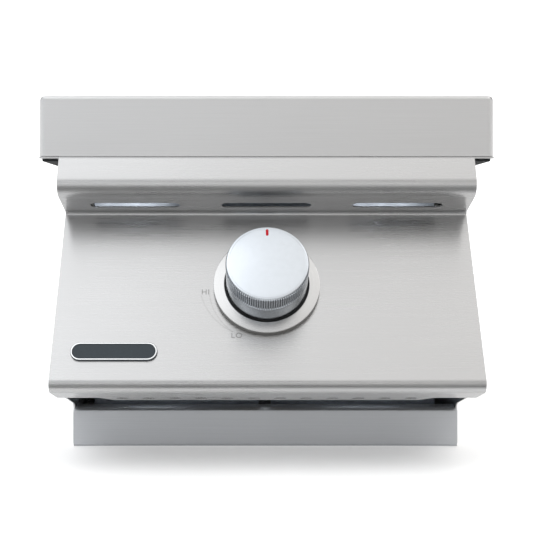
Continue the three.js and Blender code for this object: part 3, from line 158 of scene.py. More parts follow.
def brushed(tree, shader, place, along, strength):
    """Grain lines along an axis, or along the other one on faces square to it; the gloss goes across."""
    grain, end_grain, axis, end_axis = BRUSH[along]
    at_end = end_face(tree, place, axis)
    coordinates = place.outputs["Object"]
    side_lines = noise(tree, coordinates, grain, GRAIN_DETAIL)
    end_lines = noise(tree, coordinates, end_grain, GRAIN_DETAIL)
    along_grain = mixed(tree, "VECTOR", axis, end_axis, at_end)
    across = vector_node(tree, "CROSS_PRODUCT", place.outputs["Normal"], along_grain)
    turn = tree.nodes.new("ShaderNodeVectorTransform")
    turn.vector_type = "VECTOR"
    turn.convert_from = "OBJECT"
    turn.convert_to = "WORLD"
    tree.links.new(across, turn.inputs["Vector"])
    tree.links.new(turn.outputs["Vector"], shader.inputs["Tangent"])
    shader.inputs["Anisotropic"].default_value = strength
    return mixed(tree, "FLOAT", side_lines, end_lines, at_end)


def spun(tree, shader, place, strength):
    """Fine rings round the object's own z, as a lathe leaves them, with the gloss spread across them."""
    split = tree.nodes.new("ShaderNodeSeparateXYZ")
    tree.links.new(place.outputs["Object"], split.inputs["Vector"])
    squares = [math_node(tree, "POWER", split.outputs[axis], 2) for axis in ("X", "Y")]
    radius = math_node(tree, "SQRT", math_node(tree, "ADD", *squares))
    angle = math_node(tree, "ARCTAN2", split.outputs["Y"], split.outputs["X"])
    rings = tree.nodes.new("ShaderNodeCombineXYZ")
    tree.links.new(radius, rings.inputs["X"])
    tree.links.new(split.outputs["Z"], rings.inputs["Y"])
    tree.links.new(math_node(tree, "MULTIPLY", angle, TURN_LENGTH), rings.inputs["Z"])
    tangent = tree.nodes.new("ShaderNodeTangent")
    tangent.direction_type = "RADIAL"
    tangent.axis = "Z"
    tree.links.new(tangent.outputs["Tangent"], shader.inputs["Tangent"])
    shader.inputs["Anisotropic"].default_value = strength
    shader.inputs["Anisotropic Rotation"].default_value = QUARTER_TURN
    return noise(tree, rings.outputs["Vector"], (FINE, FINE, ROUND), RING_DETAIL)


# Height of each kind of grain, in metres
RELIEF = {
    "none": 0, "turned": 1e-6, "brushed": 1.2e-6, "satin": 1.5e-6, "drawn": 2e-6, "rolled": 3e-6,
    "dipped": 4e-6, "cast": 6e-6, "moulded": 1e-5, "enamelled": 4e-5, "sand_cast": 9e-5, "foamed": 2e-4,
}
EVEN_GRAIN = (700, 700, 700)
BUMP_STRENGTH = 0.6
CLOUDS = (9, 9, 9)
CLOUD_DETAIL = 2
CLOUD_BEND = 0.4
CLOUD_SHARE = 0.4


def finish(name, colour, rough, shade, grain=EVEN_GRAIN, relief="none", brush=None, strength=0.85,
           tint=None, metallic=1.0, **sockets):
    """A procedural finish.

    Grain and slow clouds vary its colour by a share called shade, or from the colour to the tint where there
    is one, and its roughness over a range. The grain also gives its relief.
    """
    made = bpy.data.materials.new(name)
    made.use_nodes = True
    tree = made.node_tree
    shader = tree.nodes["Principled BSDF"]
    shader.inputs["Metallic"].default_value = metallic
    for socket, value in sockets.items():
        shader.inputs[socket.replace("_", " ")].default_value = value
    place = tree.nodes.new("ShaderNodeTexCoord")
    if brush == "spun":
        fine = spun(tree, shader, place, strength)
    elif brush:
        fine = brushed(tree, shader, place, brush, strength)
    else:
        fine = noise(tree, place.outputs["Object"], grain, GRAIN_DETAIL)
    clouds = noise(tree, place.outputs["Object"], CLOUDS, CLOUD_DETAIL, CLOUD_BEND)
    both = mixed(tree, "FLOAT", fine, clouds, CLOUD_SHARE)
    dark = [value * (1 - shade) for value in colour]
    light = [min(1, value * (1 + shade)) for value in (tint or colour)]
    colours = mixed(tree, "RGBA", (*dark, 1), (*light, 1), ranged(tree, both, 0, 1))
    tree.links.new(colours, shader.inputs["Base Color"])
    tree.links.new(ranged(tree, both, *rough), shader.inputs["Roughness"])
    if RELIEF[relief]:
        bump = tree.nodes.new("ShaderNodeBump")
        bump.inputs["Strength"].default_value = BUMP_STRENGTH
        bump.inputs["Distance"].default_value = RELIEF[relief]
        tree.links.new(fine, bump.inputs["Height"])
        tree.links.new(bump.outputs["Normal"], shader.inputs["Normal"])
    return made


SHEET = (0.5, 0.5, 0.502)
SHEET_ROUGH = (0.24, 0.33)
FINISHES = {
    "sheet_x": finish("brushed_steel_across", SHEET, SHEET_ROUGH, 0.05, relief="brushed", brush="x"),
    "sheet_y": finish("brushed_steel_back", SHEET, SHEET_ROUGH, 0.05, relief="brushed", brush="y"),
    "lid": finish("cover_steel", (0.6, 0.6, 0.602), (0.3, 0.4), 0.04, relief="satin", brush="x"),
    # The trim is the same sheet set a little darker and bluer, which paints in the shade under the control panel's
    # overhanging nose
    "trim": finish("trim_steel_shaded", (0.45, 0.462, 0.48), (0.3, 0.4), 0.06, relief="satin", brush="x"),
    "shield": finish("galvanised_sheet", (0.52, 0.57, 0.64), (0.4, 0.6), 0.12, (160, 160, 160), "dipped",
                     metallic=0.8),
    "plain": finish("mill_steel", (0.46, 0.465, 0.47), (0.3, 0.42), 0.08, (60, 900, 900), "drawn"),
    "hardware": finish("plated_steel", (0.45, 0.46, 0.47), (0.22, 0.34), 0.08, relief="drawn"),
    "chrome": finish("satin_chrome", (0.505, 0.535, 0.57), (0.17, 0.23), 0.03, (260, 260, 260)),
    # Painted shade for the knob's rib roots: a dark finish standing in for the shade down in the grooves between
    # ribs
    "painted_root_shade": finish("rib_painted_root_shade", (0.2, 0.21, 0.22), (0.35, 0.45), 0.1, (500, 500, 500)),
    "ring": finish("spun_steel", (0.49, 0.49, 0.49), (0.2, 0.28), 0.05, relief="turned", brush="spun",
                   strength=0.5),
    # Painted shade for the bezel's outer edge
    "painted_ring_edge_shade": finish("painted_ring_edge_shade", (0.27, 0.264, 0.256), (0.3, 0.4), 0.08, relief="drawn", brush="spun"),
    # Painted shade: the bezel's bore is coloured near-black to stand in for the shadow in the gap round the knob
    "bore": finish("shaded_bore", (0.05, 0.052, 0.055), (0.5, 0.6), 0.1, metallic=0.2),
    "red": finish("red_enamel", (0.42, 0.003, 0.012), (0.35, 0.45), 0.1, metallic=0.0,
                  Specular_IOR_Level=0.2),
    "slate": finish("slate_enamel", (0.022, 0.032, 0.04), (0.35, 0.5), 0.2, relief="drawn", metallic=0.0,
                    Specular_IOR_Level=0.35),
    "silver": finish("bare_edge", (0.66, 0.67, 0.68), (0.2, 0.3), 0.04),
    "iron": finish("cast_iron", (0.03, 0.03, 0.032), (0.5, 0.7), 0.3, (420, 420, 420), "sand_cast",
                   metallic=0.25),
    "enamel": finish("cap_enamel", (0.022, 0.022, 0.024), (0.3, 0.45), 0.3, (300, 300, 300), "enamelled",
                     metallic=0.1),
    "brass": finish("cast_brass", (0.55, 0.39, 0.17), (0.28, 0.45), 0.12, relief="cast",
                    tint=(0.6, 0.44, 0.22)),
    "turned_brass": finish("turned_brass", (0.58, 0.42, 0.19), (0.2, 0.3), 0.08, relief="drawn",
                           brush="spun"),
    "tube": finish("aluminised_tube", (0.52, 0.53, 0.54), (0.25, 0.38), 0.07, relief="rolled"),
    "plastic": finish("black_plastic", (0.02, 0.02, 0.021), (0.42, 0.55), 0.2, relief="moulded",
                      metallic=0.0),
    # Near-black foam under the flanges, which paints in the shade on their undersides
    "foam": finish("sealing_foam_shade", (0.012, 0.014, 0.015), (0.8, 0.95), 0.3, (1800, 1800, 1800), "foamed",
                   metallic=0.0),
    "rubber": finish("lead_sleeve", (0.018, 0.018, 0.018), (0.5, 0.65), 0.2, relief="moulded",
                     metallic=0.0),
    "ceramic": finish("glazed_ceramic", (0.74, 0.71, 0.65), (0.12, 0.22), 0.05, metallic=0.0,
                      Coat_Weight=0.6),
    "etch": finish("etched_mark", (0.27, 0.267, 0.263), (0.5, 0.6), 0.08),
    "faint_etch": finish("etched_line", (0.42, 0.416, 0.412), (0.45, 0.55), 0.08),
    "floor": finish("pale_floor", (0.92, 0.92, 0.92), (0.6, 0.7), 0.01, (3, 3, 3), metallic=0.0,
                    Emission_Color=(1, 1, 1, 1), Emission_Strength=0.32),
    "dark_card": finish("dark_card", (0.2, 0.2, 0.2), (0.7, 0.8), 0.05, (30, 30, 30), metallic=0.0),
}
SLOT_FINISH = {
    "brushed_sheet": "sheet_x", "plain_sheet": "plain", "hardware": "hardware", "knob_chrome": "chrome",
    "pointer_red": "red", "badge": "slate", "cast_iron": "iron", "brass": "brass", "tubing": "tube",
    "black_plastic": "plastic", "lead_rubber": "rubber", "white_ceramic": "ceramic",
}
NODE_FINISH = {
    "left_side_panel": "sheet_y", "right_side_panel": "sheet_y", "bottom_pan": "trim", "lid": "lid",
    "front_heat_shield": "shield", "rear_panel": "sheet_x",
}
NODE_SLOT = {part["node"]: part["material_slot"] for part in frame["record"]["subparts"]}
BODIES = frame["record"]["behaviour"]["bodies"]
NODE_BODY = {node: body for body, members in BODIES.items() for node in members}


# Mesh helpers
def axis_frame(place, axis):
    """A matrix whose origin is a place and whose z is an axis; x is across the object where it can be."""
    up = Vector(axis).normalized()
    first = Vector((1, 0, 0)) if abs(up.x) < SQUARE_TO else Vector((0, 1, 0))
    basis = Matrix((first, up.cross(first), up)).transposed().to_4x4()
    basis.translation = place
    return basis


def placed(name, data, finishes, body, replaces=(), basis=None):
    """A piece of the object, with its finishes, that rides on a body."""
    piece = bpy.data.objects.new(name, data)
    bpy.context.scene.collection.objects.link(piece)
    if basis:
        piece.matrix_world = basis
    for kind in finishes:
        data.materials.append(FINISHES[kind])
    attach(piece, body)
    if replaces:
        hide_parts(*replaces)
    return piece


DOUBLES = 1e-7


def mesh_of(name, shape):
    """A mesh from a bmesh, with doubles merged and its faces turned outwards."""
    bmesh.ops.remove_doubles(shape, verts=shape.verts, dist=DOUBLES)
    bmesh.ops.recalc_face_normals(shape, faces=shape.faces)
    mesh = bpy.data.meshes.new(name)
    shape.to_mesh(mesh)
    shape.free()
    return mesh


SHARP = 35
BEVEL_STEPS = 2


def soften(piece, edge=0.0, corner=SHARP):
    """Small rounded edges, and shading that's smooth except across the corners that stay sharp."""
    mesh = piece.data
    mesh.polygons.foreach_set("use_smooth", [True] * len(mesh.polygons))
    mesh.set_sharp_from_angle(angle=math.radians(corner))
    if edge:
        bevel = piece.modifiers.new("edge", "BEVEL")
        bevel.width = edge
        bevel.segments = BEVEL_STEPS
        bevel.limit_method = "ANGLE"
        bevel.angle_limit = math.radians(corner)
        bevel.use_clamp_overlap = True
    normals = piece.modifiers.new("normals", "WEIGHTED_NORMAL")
    normals.keep_sharp = True


def skinned(rings, closed=False):
    """Faces between rings of equally many points; the ends are filled, or joined to each other."""
    shape = bmesh.new()
    rows = [[shape.verts.new(point) for point in ring] for ring in rings]
    count = len(rows[0])
    pairs = zip(rows, rows[1:] + rows[:1]) if closed else zip(rows, rows[1:])
    for near, far in pairs:
        for i in range(count):
            j = (i + 1) % count
            shape.faces.new((near[i], far[i], far[j], near[j]))
    if not closed:
        shape.faces.new(rows[0])
        shape.faces.new(rows[-1])
    return shape


def revolved(columns):
    """A closed skin round z through columns of (radius, height) points, one column for each angle."""
    return skinned([[(r * math.cos(angle), r * math.sin(angle), h) for r, h in profile]
                    for angle, profile in columns], closed=True)


def turns(count):
    return [2 * math.pi * k / count for k in range(count)]


def hexagon(angle, flats):
    """The radius of a hexagon at an angle, from its half width across flats."""
    within = (angle + math.pi / 6) % (math.pi / 3) - math.pi / 6
    return flats / math.cos(within)


def in_mm(points):
    return [(r * MM, h * MM) for r, h in points]


ROUND_END_STEPS = 10


def obround(length, width, inset, height):
    """A ring of points round a straight-sided plate with round ends."""
    radius = width / 2 - inset
    run = (length - width) / 2
    points = []
    for side, start in ((1, -90), (-1, 90)):
        for k in range(ROUND_END_STEPS + 1):
            angle = math.radians(start + 180 * k / ROUND_END_STEPS)
            points.append((side * run + radius * math.cos(angle), radius * math.sin(angle), height))
    return points


def pill(length, width, layers, base=0.0):
    """An obround built up from (inset, height) layers over a base, all in mm but the base."""
    rings = [obround(length * MM, width * MM, inset * MM, base + height * MM) for inset, height in layers]
    return skinned(rings)


def middle_of(node):
    """The lowest and highest corner of a node, and the place between them."""
    low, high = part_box(node)
    middle = Vector([(near + far) / 2 for near, far in zip(low, high)])
    return low, high, middle


# Plain solids, dressed: the same shape with softened edges in mm, sharp corners in degrees, and a finish
EDGE = 0.2
EDGES = {"cooking_grate": 1.1, "burner_base": 0.8, "spark_module": 0.6, "lid": 0, "electrode_tip": 0}
CORNERS = {"electrode_tip": 65, "valve_spring": 75}
REMADE = {
    "control_knob", "knob_pointer", "knob_bezel", "badge_plate", "burner_ring", "burner_cap",
    "gas_inlet_fitting", "left_hinge_pin", "right_hinge_pin", "gas_inlet_pipe", "gas_supply_tube",
    "igniter_lead",
}
SOLID_DOUBLES = 1e-6
FLAT = math.radians(0.4)


def dressed(node, edge, corner):
    """A node's own shape as a piece with merged faces, softened edges and its finish."""
    shape = bmesh.new()
    shape.from_mesh(nodes[node].data)
    bmesh.ops.remove_doubles(shape, verts=shape.verts, dist=SOLID_DOUBLES)
    bmesh.ops.dissolve_limit(shape, angle_limit=FLAT, verts=shape.verts, edges=shape.edges)
    mesh = bpy.data.meshes.new(node + "_shape")
    shape.to_mesh(mesh)
    shape.free()
    slot = NODE_SLOT[node]
    kind = NODE_FINISH.get(node, SLOT_FINISH[slot])
    soften(placed(node + "_shape", mesh, [kind], NODE_BODY[node], (node,)), edge * MM, corner)


for node in nodes:
    if node not in REMADE:
        dressed(node, EDGES.get(node, EDGE), CORNERS.get(node, SHARP))


# Control knob, round the knob's axis. Named lengths from here to the stage are in mm
FACE = axis_frame(joints["knob_turn"]["pos_m"], joints["knob_turn"]["axis"])
KNOB_HEIGHT = 38.4
KNOB_FLOOR = 35.4
DOME = 1.5
RIM_RADIUS = 28.3
SKIRT, SKIRT_INSIDE = 29, 26.7
HUB_RADIUS, HUB_BOTTOM = 8, 10
BORE_RADIUS, BORE_DEPTH = 4.3, 13

# The skirt's lower edge, high enough to stay clear of the bezel's screws when the knob is pushed in
KNOB_BOTTOM = 7

# The face: rings of the dome, a fine turned line as (further out, drop), and the rim as (inset, drop)
FACE_RINGS = (0, 5, 10, 15, 20, 24)
LINE_RADIUS = 26.5
LINE_SHAPE = ((0, 0), (0.12, 0.07), (0.24, 0))
RIM_SHAPE = ((0.45, 0), (0.15, 0.12), (0, 0.6))
NECK_RADIUS, NECK_HEIGHT = 28.35, 35.8

# The skirt's edges: (inset, drop) at its top, (inset, rise) at its bottom and (further out, rise) inside
SKIRT_TOP_EDGE = ((0.05, 0), (0, 0.3))
SKIRT_EDGE = ((0, 0.4), (0.3, 0))
SKIRT_INNER_EDGE = ((0.2, 0), (0, 0.3))

# Ribs: each has a crest and a root, at these shares of its pitch, and the root runs out over a scooped end
RIBS = 110
CREST, ROOT = 28.95, 28.15
RIB_SHAPE = ((0, CREST), (0.5, CREST), (0.62, ROOT), (0.88, ROOT))
RIB_TOP, RIB_END = 34.8, 21.6
RIB_FOOT = 0.3
RIB_SCOOP = 1.2
RIB_CORNER = 30


def dome(radius):
    """Height of the knob's slightly domed face at a radius."""
    return KNOB_HEIGHT - DOME * (radius / RIM_RADIUS) ** 2


def knob_profile(band):
    """Half section of the knob through a rib's crest or root."""
    scoop = RIB_END + RIB_FOOT + RIB_SCOOP * (CREST - band)
    bore_end = HUB_BOTTOM + BORE_DEPTH
    return in_mm([
        *[(radius, dome(radius)) for radius in FACE_RINGS],
        *[(LINE_RADIUS + out, dome(LINE_RADIUS + out) - drop) for out, drop in LINE_SHAPE],
        *[(RIM_RADIUS - inset, dome(RIM_RADIUS - inset) - drop) for inset, drop in RIM_SHAPE],
        (NECK_RADIUS, NECK_HEIGHT), (band, RIB_TOP), (band, scoop),
        *[(SKIRT - inset, RIB_END - drop) for inset, drop in SKIRT_TOP_EDGE],
        *[(SKIRT - inset, KNOB_BOTTOM + rise) for inset, rise in SKIRT_EDGE],
        *[(SKIRT_INSIDE + out, KNOB_BOTTOM + rise) for out, rise in SKIRT_INNER_EDGE],
        (SKIRT_INSIDE, KNOB_FLOOR), (HUB_RADIUS, KNOB_FLOOR), (HUB_RADIUS, HUB_BOTTOM),
        (BORE_RADIUS, HUB_BOTTOM), (BORE_RADIUS, bore_end), (0, bore_end),
    ])


def knob():
    columns = [(start + share * 2 * math.pi / RIBS, knob_profile(band)) for start in turns(RIBS)
               for share, band in RIB_SHAPE]
    mesh = mesh_of("ribbed_knob", revolved(columns))
    # Faces down at the ribs' roots get the dark finish as painted shade
    for face in mesh.polygons:
        reach = math.hypot(face.center.x, face.center.y) / MM
        if RIB_END < face.center.z / MM < RIB_TOP and abs(reach - ROOT) < RIB_FOOT:
            face.material_index = 1
    piece = placed("ribbed_knob", mesh, ["chrome", "painted_root_shade"], "knob", ("control_knob",),
                   FACE)
    soften(piece, corner=RIB_CORNER)


# The pointer: its layers are (inset, height above the knob's face)
POINTER_REACH = 26.2
POINTER_LENGTH, POINTER_WIDTH = 5.2, 1.9
POINTER_FOOT = 21.2
POINTER_LAYERS = ((0, -0.6), (0, 0), (0.12, 0.1), (0.45, 0.15))


def pointer():
    """A pill of red enamel that stands a hair proud of the knob's face."""
    shape = pill(POINTER_LENGTH, POINTER_WIDTH, POINTER_LAYERS, dome(POINTER_FOOT) * MM)
    middle = (POINTER_REACH - POINTER_LENGTH / 2) * MM
    lying = FACE @ Matrix.Translation((0, middle, 0)) @ Matrix.Rotation(math.radians(90), 4, "Z")
    soften(placed("pointer_line", mesh_of("pointer_line", shape), ["red"], "knob",
                  ("knob_pointer",), lying))


# The bezel: its top slopes outwards; its outer edge has a darker finish as painted shade on its side wall, and its
# bore has a near-black finish as painted shade
BEZEL_RADIUS, BEZEL_INSIDE = 38.1, 30.3
BEZEL_TOP, BEZEL_RIM = 5.8, 5.0
BEZEL_SEAT = 0.3
LIP_INSIDE, LIP_TOP = 21, 1.8
BEZEL_STEPS = 144
BEZEL_BAND = 0.1

# Its rounded edges: (inset, drop) outside and (further out, drop) inside
BEZEL_EDGE = ((0, 0.5), (0.15, 0.15), (0.5, 0))
BEZEL_INNER_EDGE = ((0.6, 0), (0.2, 0.08), (0, 0.4))


def bezel():
    profile = in_mm([
        (LIP_INSIDE, BEZEL_SEAT), (BEZEL_RADIUS, BEZEL_SEAT),
        *[(BEZEL_RADIUS - inset, BEZEL_RIM - drop) for inset, drop in BEZEL_EDGE],
        *[(BEZEL_INSIDE + out, BEZEL_TOP - drop) for out, drop in BEZEL_INNER_EDGE],
        (BEZEL_INSIDE, LIP_TOP), (LIP_INSIDE, LIP_TOP),
    ])
    mesh = mesh_of("bezel_ring", revolved([(angle, profile) for angle in turns(BEZEL_STEPS)]))
    # Painted shade: the outer edge's faces get a darker finish and the bore's faces a near-black one
    for face in mesh.polygons:
        reach = math.hypot(face.center.x, face.center.y) / MM
        if reach > BEZEL_RADIUS - BEZEL_BAND / 2:
            face.material_index = 1
        elif reach < BEZEL_INSIDE + BEZEL_BAND:
            face.material_index = 2
    soften(placed("bezel_ring", mesh, ["ring", "painted_ring_edge_shade", "bore"], "housing",
                  ("knob_bezel",), FACE))


# Blank badge: a bare border round a slate field. Its layers are (inset, height)
BADGE_WIDTH = 13.3
BADGE_LAYERS = (
    (0, -0.8), (0, 0.4), (0.25, 0.5), (0.3, 0.75), (0.4, 0.8), (1.1, 0.8), (1.2, 0.7), (1.25, 0.3),
)
BORDER_FROM = 0.5


def badge():
    low, high, middle = middle_of("badge_plate")
    centre = FACE.inverted() @ middle
    mesh = mesh_of("blank_badge", pill((high.x - low.x) / MM, BADGE_WIDTH, BADGE_LAYERS))
    lying = FACE @ Matrix.Translation(centre)
    piece = placed("blank_badge", mesh, ["slate", "silver"], "housing", ("badge_plate",), lying)
    for face in mesh.polygons:
        if len(face.vertices) == 4 and face.center.z > BORDER_FROM * MM:
            face.material_index = 1
    soften(piece)


# Etched marks beside the knob: words, and their places on the face
MARKS = {"high_mark": ("HI", -43.9, -4.4), "low_mark": ("LO", -21.4, -38.2)}
LETTER_SIZE = 5.8
LETTER_SPACING = 1.15
ETCH_LIFT = 0.03


def marks():
    for name, (words, x, y) in MARKS.items():
        letters = bpy.data.curves.new(name, "FONT")
        letters.body = words
        letters.size = LETTER_SIZE * MM
        letters.align_x = "CENTER"
        letters.align_y = "CENTER"
        letters.extrude = ETCH_LIFT * MM
        letters.space_character = LETTER_SPACING
        lying = FACE @ Matrix.Translation((x * MM, y * MM, 0))
        placed(name, letters, ["etch"], "housing", basis=lying)


# The outline of a band beside the bezel that's widest by HI and comes to a point by LO
SWELL_START, SWELL_END = math.radians(188), math.radians(236)
SWELL_EDGES = (41.2, 47.3)
SWELL_TIP = 42.6
SWELL_LINE = 0.3
SWELL_STEPS = 40


def swell_line():
    shape = bmesh.new()
    for edge in SWELL_EDGES:
        row = []
        for k in range(SWELL_STEPS + 1):
            angle = SWELL_START + (SWELL_END - SWELL_START) * k / SWELL_STEPS
            radius = edge + (SWELL_TIP - edge) * k / SWELL_STEPS
            line = [(r * math.cos(angle), r * math.sin(angle), ETCH_LIFT)
                    for r in (radius, radius + SWELL_LINE)]
            row.append([shape.verts.new(Vector(point) * MM) for point in line])
        for near, far in zip(row, row[1:]):
            shape.faces.new((near[0], near[1], far[1], far[0]))
    placed("swell_line", mesh_of("swell_line", shape), ["faint_etch"], "housing",
           basis=FACE)


# Burner ring with its ports
SEAT = 3
RING_LIP = (39.5, 41.7)
RING_RADIUS, RING_INSIDE = 46, 41.5
RING_CHAMFER = 0.4
RING_SLOPE = 5
PORTS = 24
PORT_WIDTH = 2.4
PORT_DROP = 5
PORT_HALF = math.asin(PORT_WIDTH / 2 / RING_RADIUS)
LAND_STEPS = 4
RING_CORNER = 30


def ring_profile(top, chamfer):
    lip_inside, lip_outside = RING_LIP
    return in_mm([
        (lip_inside, 0), (lip_outside, 0), (lip_outside, SEAT), (RING_RADIUS, SEAT),
        (RING_RADIUS, top - chamfer), (RING_RADIUS - chamfer, top),
        (RING_INSIDE + chamfer, top), (RING_INSIDE, top - chamfer),
        (RING_INSIDE, SEAT + RING_SLOPE), (lip_inside, SEAT),
    ])


def burner_ring():
    low, high, middle = middle_of("burner_ring")
    top = (high.z - low.z) / MM
    land, port = ring_profile(top, RING_CHAMFER), ring_profile(top - PORT_DROP, 0)
    gap = 2 * math.pi / PORTS - 2 * PORT_HALF
    columns = []
    for centre in turns(PORTS):
        start, end = centre - PORT_HALF, centre + PORT_HALF
        columns += [(start, land), (start, port), (end, port)]
        columns += [(end + gap * k / LAND_STEPS, land) for k in range(LAND_STEPS)]
    half_pitch = Matrix.Rotation(math.pi / PORTS - math.pi / 2, 4, "Z")
    place = Matrix.Translation((middle.x, middle.y, low.z)) @ half_pitch
    mesh = mesh_of("ported_ring", revolved(columns))
    soften(placed("ported_ring", mesh, ["turned_brass"], "ring", ("burner_ring",), place),
           corner=RING_CORNER)


# Burner cap: its edge is (inset, height above the seat), its dish (radius, drop below the crown)
CAP_RADIUS = 48
CAP_LIP = (38.2, 41.2)
CAP_EASE = 0.4
CAP_EDGE = ((0, 2.6), (0.8, 4.4))
CAP_DISH = ((45.4, 0.3), (43.6, 0), (41.5, 0.1), (33, 1.3), (24, 2), (0, 2))
CAP_STEPS = 120
CAP_CORNER = 40


def burner_cap():
    low, high, middle = middle_of("burner_cap")
    crown = (high.z - low.z) / MM
    lip_inside, lip_outside = CAP_LIP
    profile = in_mm([
        (0, SEAT), (lip_inside, SEAT), (lip_inside, 0), (lip_outside, 0), (lip_outside, SEAT),
        (CAP_RADIUS - CAP_EASE, SEAT), (CAP_RADIUS, SEAT + CAP_EASE),
        *[(CAP_RADIUS - inset, SEAT + height) for inset, height in CAP_EDGE],
        *[(radius, crown - drop) for radius, drop in CAP_DISH],
    ])
    place = Matrix.Translation((middle.x, middle.y, low.z))
    mesh = mesh_of("enamelled_cap", revolved([(angle, profile) for angle in turns(CAP_STEPS)]))
    soften(placed("enamelled_cap", mesh, ["enamel"], "cap", ("burner_cap",), place),
           corner=CAP_CORNER)


# Gas inlet fitting: a hexagon, a barrel with 18 threads to the inch, and a flared nose
THREAD_PITCH = 25.4 / 18
THREAD_DEPTH = 0.75
THREAD_STEPS = 8
INLET_HEX_LENGTH, INLET_HEX_HALF = 11, 11
HEX_CHAMFER = 0.9
HEX_EASED = 1.07 * INLET_HEX_HALF
INLET_BORE = 4
INLET_BARREL = 7.9
INLET_NOSE = 1.6
INLET_MOUTH = 6.1
INLET_STEPS = 96


def inlet_profile(angle, length):
    corner = hexagon(angle, INLET_HEX_HALF)
    eased = min(corner, HEX_EASED)
    rows = math.floor((length - INLET_NOSE - INLET_HEX_LENGTH) / THREAD_PITCH * THREAD_STEPS)
    thread = []
    for k in range(rows + 1):
        height = INLET_HEX_LENGTH + k * THREAD_PITCH / THREAD_STEPS
        phase = (height / THREAD_PITCH - angle / (2 * math.pi)) % 1
        thread.append((INLET_BARREL - THREAD_DEPTH * abs(2 * phase - 1), height))
    return in_mm([
        (INLET_BORE, 0), (eased, 0), (corner, HEX_CHAMFER), (corner, INLET_HEX_LENGTH - HEX_CHAMFER),
        (eased, INLET_HEX_LENGTH), *thread, (INLET_BARREL - THREAD_DEPTH, length - INLET_NOSE),
        (INLET_MOUTH, length), (INLET_BORE, length),
    ])


def inlet_fitting():
    low, high, middle = middle_of("gas_inlet_fitting")
    length = (high.y - low.y) / MM
    place = axis_frame((middle.x, low.y, middle.z), (0, 1, 0))
    shape = revolved([(angle, inlet_profile(angle, length)) for angle in turns(INLET_STEPS)])
    soften(placed("threaded_inlet", mesh_of("threaded_inlet", shape), ["turned_brass"], "housing",
                  ("gas_inlet_fitting",), place))


# Hinge pins with domed heads, given as (radius, height on the head's underside)
PIN_RADIUS = 3
PIN_CHAMFER = 0.6
PIN_HEAD = 2
PIN_DOME = ((5.5, 0), (5.5, 0.9), (5.1, 1.4), (4.1, 1.8), (2.4, 1.96))
PIN_STEPS = 48


def hinge_pins():
    for side, node in ((1, "right_hinge_pin"), (-1, "left_hinge_pin")):
        low, high, middle = middle_of(node)
        inner, outer = sorted((abs(low.x) / MM, abs(high.x) / MM))
        head = outer - PIN_HEAD
        profile = in_mm([
            (0, inner), (PIN_RADIUS - PIN_CHAMFER, inner), (PIN_RADIUS, inner + PIN_CHAMFER),
            (PIN_RADIUS, head), *[(radius, head + height) for radius, height in PIN_DOME], (0, outer),
        ])
        place = axis_frame((0, middle.y, middle.z), (side, 0, 0))
        shape = revolved([(angle, profile) for angle in turns(PIN_STEPS)])
        soften(placed("domed_" + node, mesh_of("domed_" + node, shape), ["hardware"], "housing",
                      (node,), place))


# Round bars along a line, for the gas pipes and the igniter lead
BEND_STEPS = 10
CURVE_STEPS = 8


def arc_corners(corners, radius):
    """A line of straight runs joined by arcs."""
    path = [corners[0]]
    for before, corner, after in zip(corners, corners[1:], corners[2:]):
        arriving, leaving = (corner - before).normalized(), (after - corner).normalized()
        turn = arriving.angle(leaving)
        reach = radius * math.tan(turn / 2)
        inward = (leaving - arriving * arriving.dot(leaving)).normalized()
        start = corner - arriving * reach
        for k in range(BEND_STEPS + 1):
            angle = turn * k / BEND_STEPS
            ahead = arriving * radius * math.sin(angle)
            aside = inward * radius * (1 - math.cos(angle))
            path.append(start + ahead + aside)
    return path + [corners[-1]]


def drawn(name, points, radius, kind, node, smooth=False):
    """A round bar along a line; smooth passes a curve through the points."""
    curve = bpy.data.curves.new(name, "CURVE")
    curve.dimensions = "3D"
    curve.bevel_depth = radius * MM
    curve.bevel_resolution = CURVE_STEPS
    curve.use_fill_caps = True
    curve.resolution_u = CURVE_STEPS
    line = curve.splines.new("BEZIER" if smooth else "POLY")
    places = line.bezier_points if smooth else line.points
    places.add(len(points) - 1)
    for place, point in zip(places, points):
        place.co = point if smooth else (*point, 1)
        if smooth:
            place.handle_left_type = place.handle_right_type = "AUTO"
    placed(name, curve, [kind], "housing", (node,))


# Gas pipes: one from the valve up to the orifice, one from the valve down and back to the inlet fitting
PORT_DEPTH = -31
OUTLET, INLET = 20.3, -22.3
SUPPLY_RADIUS, SUPPLY_BEND = 4, 13.7
PIPE_RADIUS, PIPE_BEND = 5, 14
PIPE_DROP = 34
PIPE_GAP = 0.3
PAN_NEAR, PAN_FAR = 17, 47
TRIM_CLEARANCE = 10


def on_face(y, depth, x=0):
    """A place in the face's frame, given in mm."""
    return FACE @ Vector((x * MM, y * MM, depth * MM))


def supply_tube():
    spud_low, _, spud = middle_of("orifice_spud")
    outlet = on_face(OUTLET, PORT_DEPTH)
    face_up = FACE.to_3x3() @ Vector((0, 1, 0))
    turn = outlet + face_up * (spud.z - outlet.z) / face_up.z
    line = [outlet, turn, Vector((0, spud_low.y - PIPE_GAP * MM, spud.z))]
    drawn("bent_supply_tube", arc_corners(line, SUPPLY_BEND * MM), SUPPLY_RADIUS, "tube", "gas_supply_tube")


def inlet_pipe():
    fitting_low, _, fitting = middle_of("gas_inlet_fitting")
    pan_low, pan_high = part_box("bottom_pan")
    line = [
        on_face(INLET, PORT_DEPTH),
        on_face(INLET - PIPE_DROP, PORT_DEPTH),
        Vector((0, pan_low.y + PAN_NEAR * MM, pan_high.z + TRIM_CLEARANCE * MM)),
        Vector((0, pan_low.y + PAN_FAR * MM, fitting.z)),
        Vector((0, fitting_low.y - PIPE_GAP * MM, fitting.z)),
    ]
    drawn("bent_inlet_pipe", arc_corners(line, PIPE_BEND * MM), PIPE_RADIUS, "tube", "gas_inlet_pipe")


